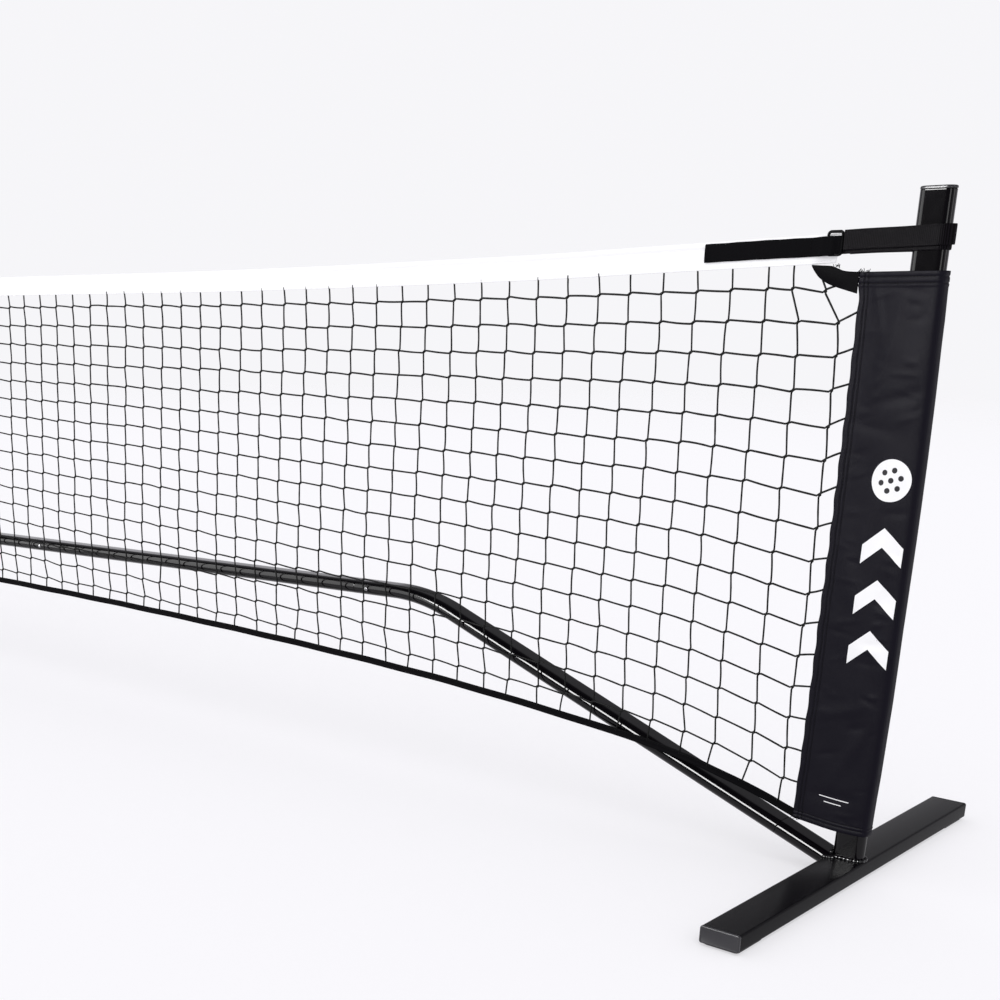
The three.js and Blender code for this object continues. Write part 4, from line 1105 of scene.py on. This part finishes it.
def webbing(path_xy, z_of, width, thick=1.5, pitch=2.5, amp=0.22, soft_ends=True):
    """Ribbed webbing that follows a path in plan; ribs run across the width."""
    p = np.asarray(path_xy, float)
    seg = np.r_[0, np.cumsum(np.linalg.norm(np.diff(p, axis=0), axis=1))]
    n = int(seg[-1] / (pitch / 5))
    q = np.linspace(0, seg[-1], n)
    x, y = np.interp(q, seg, p[:, 0]), np.interp(q, seg, p[:, 1])
    t = np.gradient(np.stack([x, y], 1), axis=0)
    t /= np.linalg.norm(t, axis=1)[:, None]
    nx, ny = t[:, 1], -t[:, 0]
    rib = amp * (0.5 + 0.5 * np.cos(2 * math.pi * q / pitch))
    across = np.array([-1, -0.97, -0.9, -0.75, -0.45, -0.15, 0.15, 0.45, 0.75, 0.9, 0.97, 1])
    rings = []
    for k in range(n):
        zc, hw = z_of(q[k] / seg[-1]), width / 2
        edge = 1 - np.abs(across) ** 10
        selv = 0.25 * np.exp(-((np.abs(across) - 0.93) / 0.04) ** 2)
        o = thick / 2 * (0.35 + 0.65 * edge) + (rib[k] * (np.abs(across) < 0.92)) * edge + selv
        wav = 0.25 * math.sin(q[k] / 19.0)
        top = [(x[k] + nx[k] * o_, y[k] + ny[k] * o_, zc + a_ * hw + wav) for a_, o_ in zip(across, o)]
        low = [(x[k] - nx[k] * o_, y[k] - ny[k] * o_, zc + a_ * hw + wav) for a_, o_ in zip(across[::-1], o[::-1])]
        rings.append(np.array(top + low))
    return loft_fast(rings)


hx = POST_W / 2 - POST_H / 2
PX = POST_X + 1.5
def around(r, a0, a1, n=14):
    return [(PX + hx + r * math.cos(t), r * math.sin(t)) for t in np.radians(np.linspace(a0, a1, n))]


rx = FOOT_X - RING_D + 10.5             # the ring's post-side bar
r1 = POST_H / 2 + 1.3
# loop: out of the ring, along the front, round the post, back behind and into the ring
loop_path = [(rx - 0.6, -3.7), (rx + 2.2, -4.2), (rx + 12, -5.0), (PX - hx - 8, -r1), (PX, -r1), *around(r1, -90, 90), (PX, r1), (PX - hx - 8, r1), (rx + 16, 5.0), (rx + 8, 3.6)]
lp = np.array(loop_path)
pair("strap_web_{side}", webbing(lp, lambda u: 897.2 + 2.2 * math.sin(math.pi * u), 25.6), WEBBING, "net", ["strap_loop_{side}"], angle=60)
r2 = r1 + 2.6
tail_path = [(rx + 2.6, -8.6), (rx + 5.4, -8.2), (rx + 14, -8.0), (PX - hx - 8, -r2), (PX, -r2), *around(r2 + 0.4, -84, -20, 12), (PX + hx + r2 + 1.0, -0.8), (PX + hx + r2 + 1.2, 2.6)]
pair("strap_end_{side}", webbing(np.array(tail_path), lambda u: 902.2 + 3.6 * u, 26.0), WEBBING, "strap_tail_{side}", ["strap_tail_{side}"], angle=60)

# middle loop of webbing that ties the band to the upright
ml_path = [(-13.5, 3.4), (-12.5, 8), (-11, 17), (-6.5, 23.2), (0, 24.6), (6.5, 23.2), (11, 17), (12.5, 8), (13.5, 3.4)]
make("middle_web", webbing(catmull(ml_path, 6), lambda u: 844.0, 30.0), WEBBING, "net", ["middle_loop"], angle=60)

# ---------------------------------------------------------------- floor, light, camera
def floor():
    me = bpy.data.meshes.new("floor")
    r, n = 30.0, 64
    vs = [(0, 0, -0.0005)]
    fs = []
    for k in range(n):
        t = 2 * math.pi * k / n
        vs.append((r * math.cos(t), r * math.sin(t), -0.0005))
    for k in range(n):
        fs.append((0, 1 + k, 1 + (k + 1) % n))
    me.from_pydata(vs, [], fs)
    ob = bpy.data.objects.new("floor", me)
    scene.collection.objects.link(ob)
    m = bpy.data.materials.new("floor")
    m.use_nodes = True
    nt = m.node_tree
    p = nt.nodes["Principled BSDF"]
    p.inputs["Base Color"].default_value = (0.42, 0.418, 0.43, 1)
    p.inputs["Emission Color"].default_value = (0.985, 0.975, 1.0, 1)
    p.inputs["Emission Strength"].default_value = 0.52
    p.inputs["Roughness"].default_value = 0.9
    p.inputs["Specular IOR Level"].default_value = 0.0
    # fades into the backdrop far away
    tr = nt.nodes.new("ShaderNodeBsdfTransparent")
    mix = nt.nodes.new("ShaderNodeMixShader")
    tc = nt.nodes.new("ShaderNodeTexCoord")
    ln = nt.nodes.new("ShaderNodeVectorMath")
    ln.operation = "LENGTH"
    mr = nt.nodes.new("ShaderNodeMapRange")
    mr.inputs["From Min"].default_value = 6.0
    mr.inputs["From Max"].default_value = 14.0
    nt.links.new(tc.outputs["Object"], ln.inputs[0])
    nt.links.new(ln.outputs["Value"], mr.inputs["Value"])
    nt.links.new(mr.outputs["Result"], mix.inputs["Fac"])
    nt.links.new(p.outputs["BSDF"], mix.inputs[1])
    nt.links.new(tr.outputs["BSDF"], mix.inputs[2])
    out = nt.nodes["Material Output"]
    nt.links.new(mix.outputs["Shader"], out.inputs["Surface"])
    me.materials.append(m)
    return ob


floor()

world = bpy.data.worlds.new("studio")
scene.world = world
world.use_nodes = True
nt = world.node_tree
bg = nt.nodes["Background"]
BACK = (0.925, 0.921, 0.945)
bg.inputs["Color"].default_value = (*BACK, 1)
bg.inputs["Strength"].default_value = 1.0
# reflections see a dark studio behind the camera and the lit sweep behind the net
gl_bg = nt.nodes.new("ShaderNodeBackground")
tcw = nt.nodes.new("ShaderNodeTexCoord")
sep = nt.nodes.new("ShaderNodeSeparateXYZ")
nt.links.new(tcw.outputs["Generated"], sep.inputs[0])


def height_ramp(stops):
    """Radiance against the sine of the elevation."""
    m = nt.nodes.new("ShaderNodeMapRange")
    m.inputs["From Min"].default_value = -0.2
    m.inputs["From Max"].default_value = 1.0
    r = nt.nodes.new("ShaderNodeValToRGB")
    nt.links.new(sep.outputs["Z"], m.inputs["Value"])
    nt.links.new(m.outputs["Result"], r.inputs["Fac"])
    el = r.color_ramp.elements
    for k, (z, c) in enumerate(stops):
        e = el[k] if k < 2 else el.new((z + 0.2) / 1.2)
        e.color = (c, c * 0.985, c * 1.04, 1)
    return r.outputs["Color"]


far = height_ramp([(-0.2, 0.9), (1.0, 0.06), (0.07, 0.9), (0.13, 0.7), (0.21, 0.40), (0.30, 0.24), (0.38, 0.17), (0.50, 0.28), (0.62, 0.30), (0.80, 0.12)])
near = height_ramp([(-0.2, 0.30), (1.0, 0.06), (-0.03, 0.22), (0.05, 0.10), (0.3, 0.08), (0.6, 0.06)])
side = nt.nodes.new("ShaderNodeMapRange")
side.inputs["From Min"].default_value = -0.35
side.inputs["From Max"].default_value = 0.25
side.interpolation_type = "SMOOTHSTEP"
nt.links.new(sep.outputs["Y"], side.inputs["Value"])
blend = nt.nodes.new("ShaderNodeMix")
blend.data_type = "RGBA"
nt.links.new(side.outputs["Result"], blend.inputs[0])
nt.links.new(near, blend.inputs[6])
nt.links.new(far, blend.inputs[7])
nt.links.new(blend.outputs[2], gl_bg.inputs["Color"])
gl_bg.inputs["Strength"].default_value = 1.0
lpn = nt.nodes.new("ShaderNodeLightPath")
mixw = nt.nodes.new("ShaderNodeMixShader")
nt.links.new(lpn.outputs["Is Glossy Ray"], mixw.inputs["Fac"])
nt.links.new(bg.outputs["Background"], mixw.inputs[1])
nt.links.new(gl_bg.outputs["Background"], mixw.inputs[2])
nt.links.new(mixw.outputs["Shader"], nt.nodes["World Output"].inputs["Surface"])


def area(name, loc, target, w, h, power, color=(1, 1, 1)):
    l = bpy.data.lights.new(name, "AREA")
    l.shape = "RECTANGLE"
    l.size, l.size_y = w, h
    l.energy = power
    l.color = color
    ob = bpy.data.objects.new(name, l)
    scene.collection.objects.link(ob)
    ob.location = loc
    ob.rotation_mode = "QUATERNION"
    ob.rotation_quaternion = (Vector(target) - Vector(loc)).to_track_quat("-Z", "Y")
    return ob


def glossy_only(ob):
    """A softbox that is seen in reflections and lights the black parts, but leaves the floor even."""
    ob.visible_diffuse = False
    ob.visible_camera = False
    return ob


glossy_only(area("front_box", (1.85, -3.6, 2.35), (1.85, 0, 0.15), 3.2, 1.25, 640))
glossy_only(area("left_box", (0.45, -1.75, 1.3), (3.3, 0, 0.9), 2.4, 2.3, 70))
glossy_only(area("edge_box", (6.0, -1.6, 1.3), (3.36, 0, 0.8), 0.8, 2.2, 22))
glossy_only(area("right_box", (5.9, 0.9, 1.6), (3.3, 0, 0.6), 0.6, 2.2, 10))
sun = bpy.data.lights.new("fill_sun", "SUN")
sun.energy = 0.66
sun.angle = math.radians(60)
sun_ob = bpy.data.objects.new("fill_sun", sun)
scene.collection.objects.link(sun_ob)
sun_ob.rotation_euler = (math.radians(45), 0, math.radians(36))
sun_ob.visible_glossy = False

cam_data = bpy.data.cameras.new("camera")
cam = bpy.data.objects.new("camera", cam_data)
scene.collection.objects.link(cam)
scene.camera = cam
cam_data.sensor_width = 36.0
cam_data.sensor_fit = "HORIZONTAL"
CAM = np.array([4.2162, -2.0935, 0.8096])
F_PX, PPX, PPY = 1482.17, 337.86, 859.47
cam_data.lens = F_PX * 36.0 / 1000.0
cam_data.clip_start, cam_data.clip_end = 0.05, 200
yaw, pitch, roll = math.radians(-42.55), math.radians(20.326), math.radians(-0.195)
fwd = np.array([math.sin(yaw) * math.cos(pitch), math.cos(yaw) * math.cos(pitch), -math.sin(pitch)])
right = np.array([math.cos(yaw), -math.sin(yaw), 0.0])
down = np.cross(fwd, right)
r2v = math.cos(roll) * right + math.sin(roll) * down
d2v = -math.sin(roll) * right + math.cos(roll) * down
rot = Matrix((Vector(r2v), Vector(-d2v), Vector(-fwd))).transposed()
cam.location = Vector(CAM)
cam.rotation_mode = "QUATERNION"
cam.rotation_quaternion = rot.to_quaternion()


def shift_driver(channel, value):
    """The lens shift holds only while the camera stands at its own place, so that other views stay centred."""
    fc = cam_data.driver_add(channel)
    for m in list(fc.modifiers):
        fc.modifiers.remove(m)
    fc.driver.type = "SUM"
    v = fc.driver.variables.new()
    v.name = "x"
    v.type = "TRANSFORMS"
    v.targets[0].id = cam
    v.targets[0].transform_type = "LOC_X"
    v.targets[0].transform_space = "WORLD_SPACE"
    x0 = float(CAM[0])
    fc.keyframe_points.add(6)
    for k, (x, y) in enumerate(((x0 - 50, 0.0), (x0 - 0.3, 0.0), (x0 - 0.15, value), (x0 + 0.15, value), (x0 + 0.3, 0.0), (x0 + 50, 0.0))):
        fc.keyframe_points[k].co = (x, y)
        fc.keyframe_points[k].interpolation = "LINEAR"
    fc.update()


shift_driver("shift_x", (500 - PPX) / 1000.0)
shift_driver("shift_y", (PPY - 500) / 1000.0)

scene.view_settings.view_transform = "Standard"
scene.view_settings.look = "None"
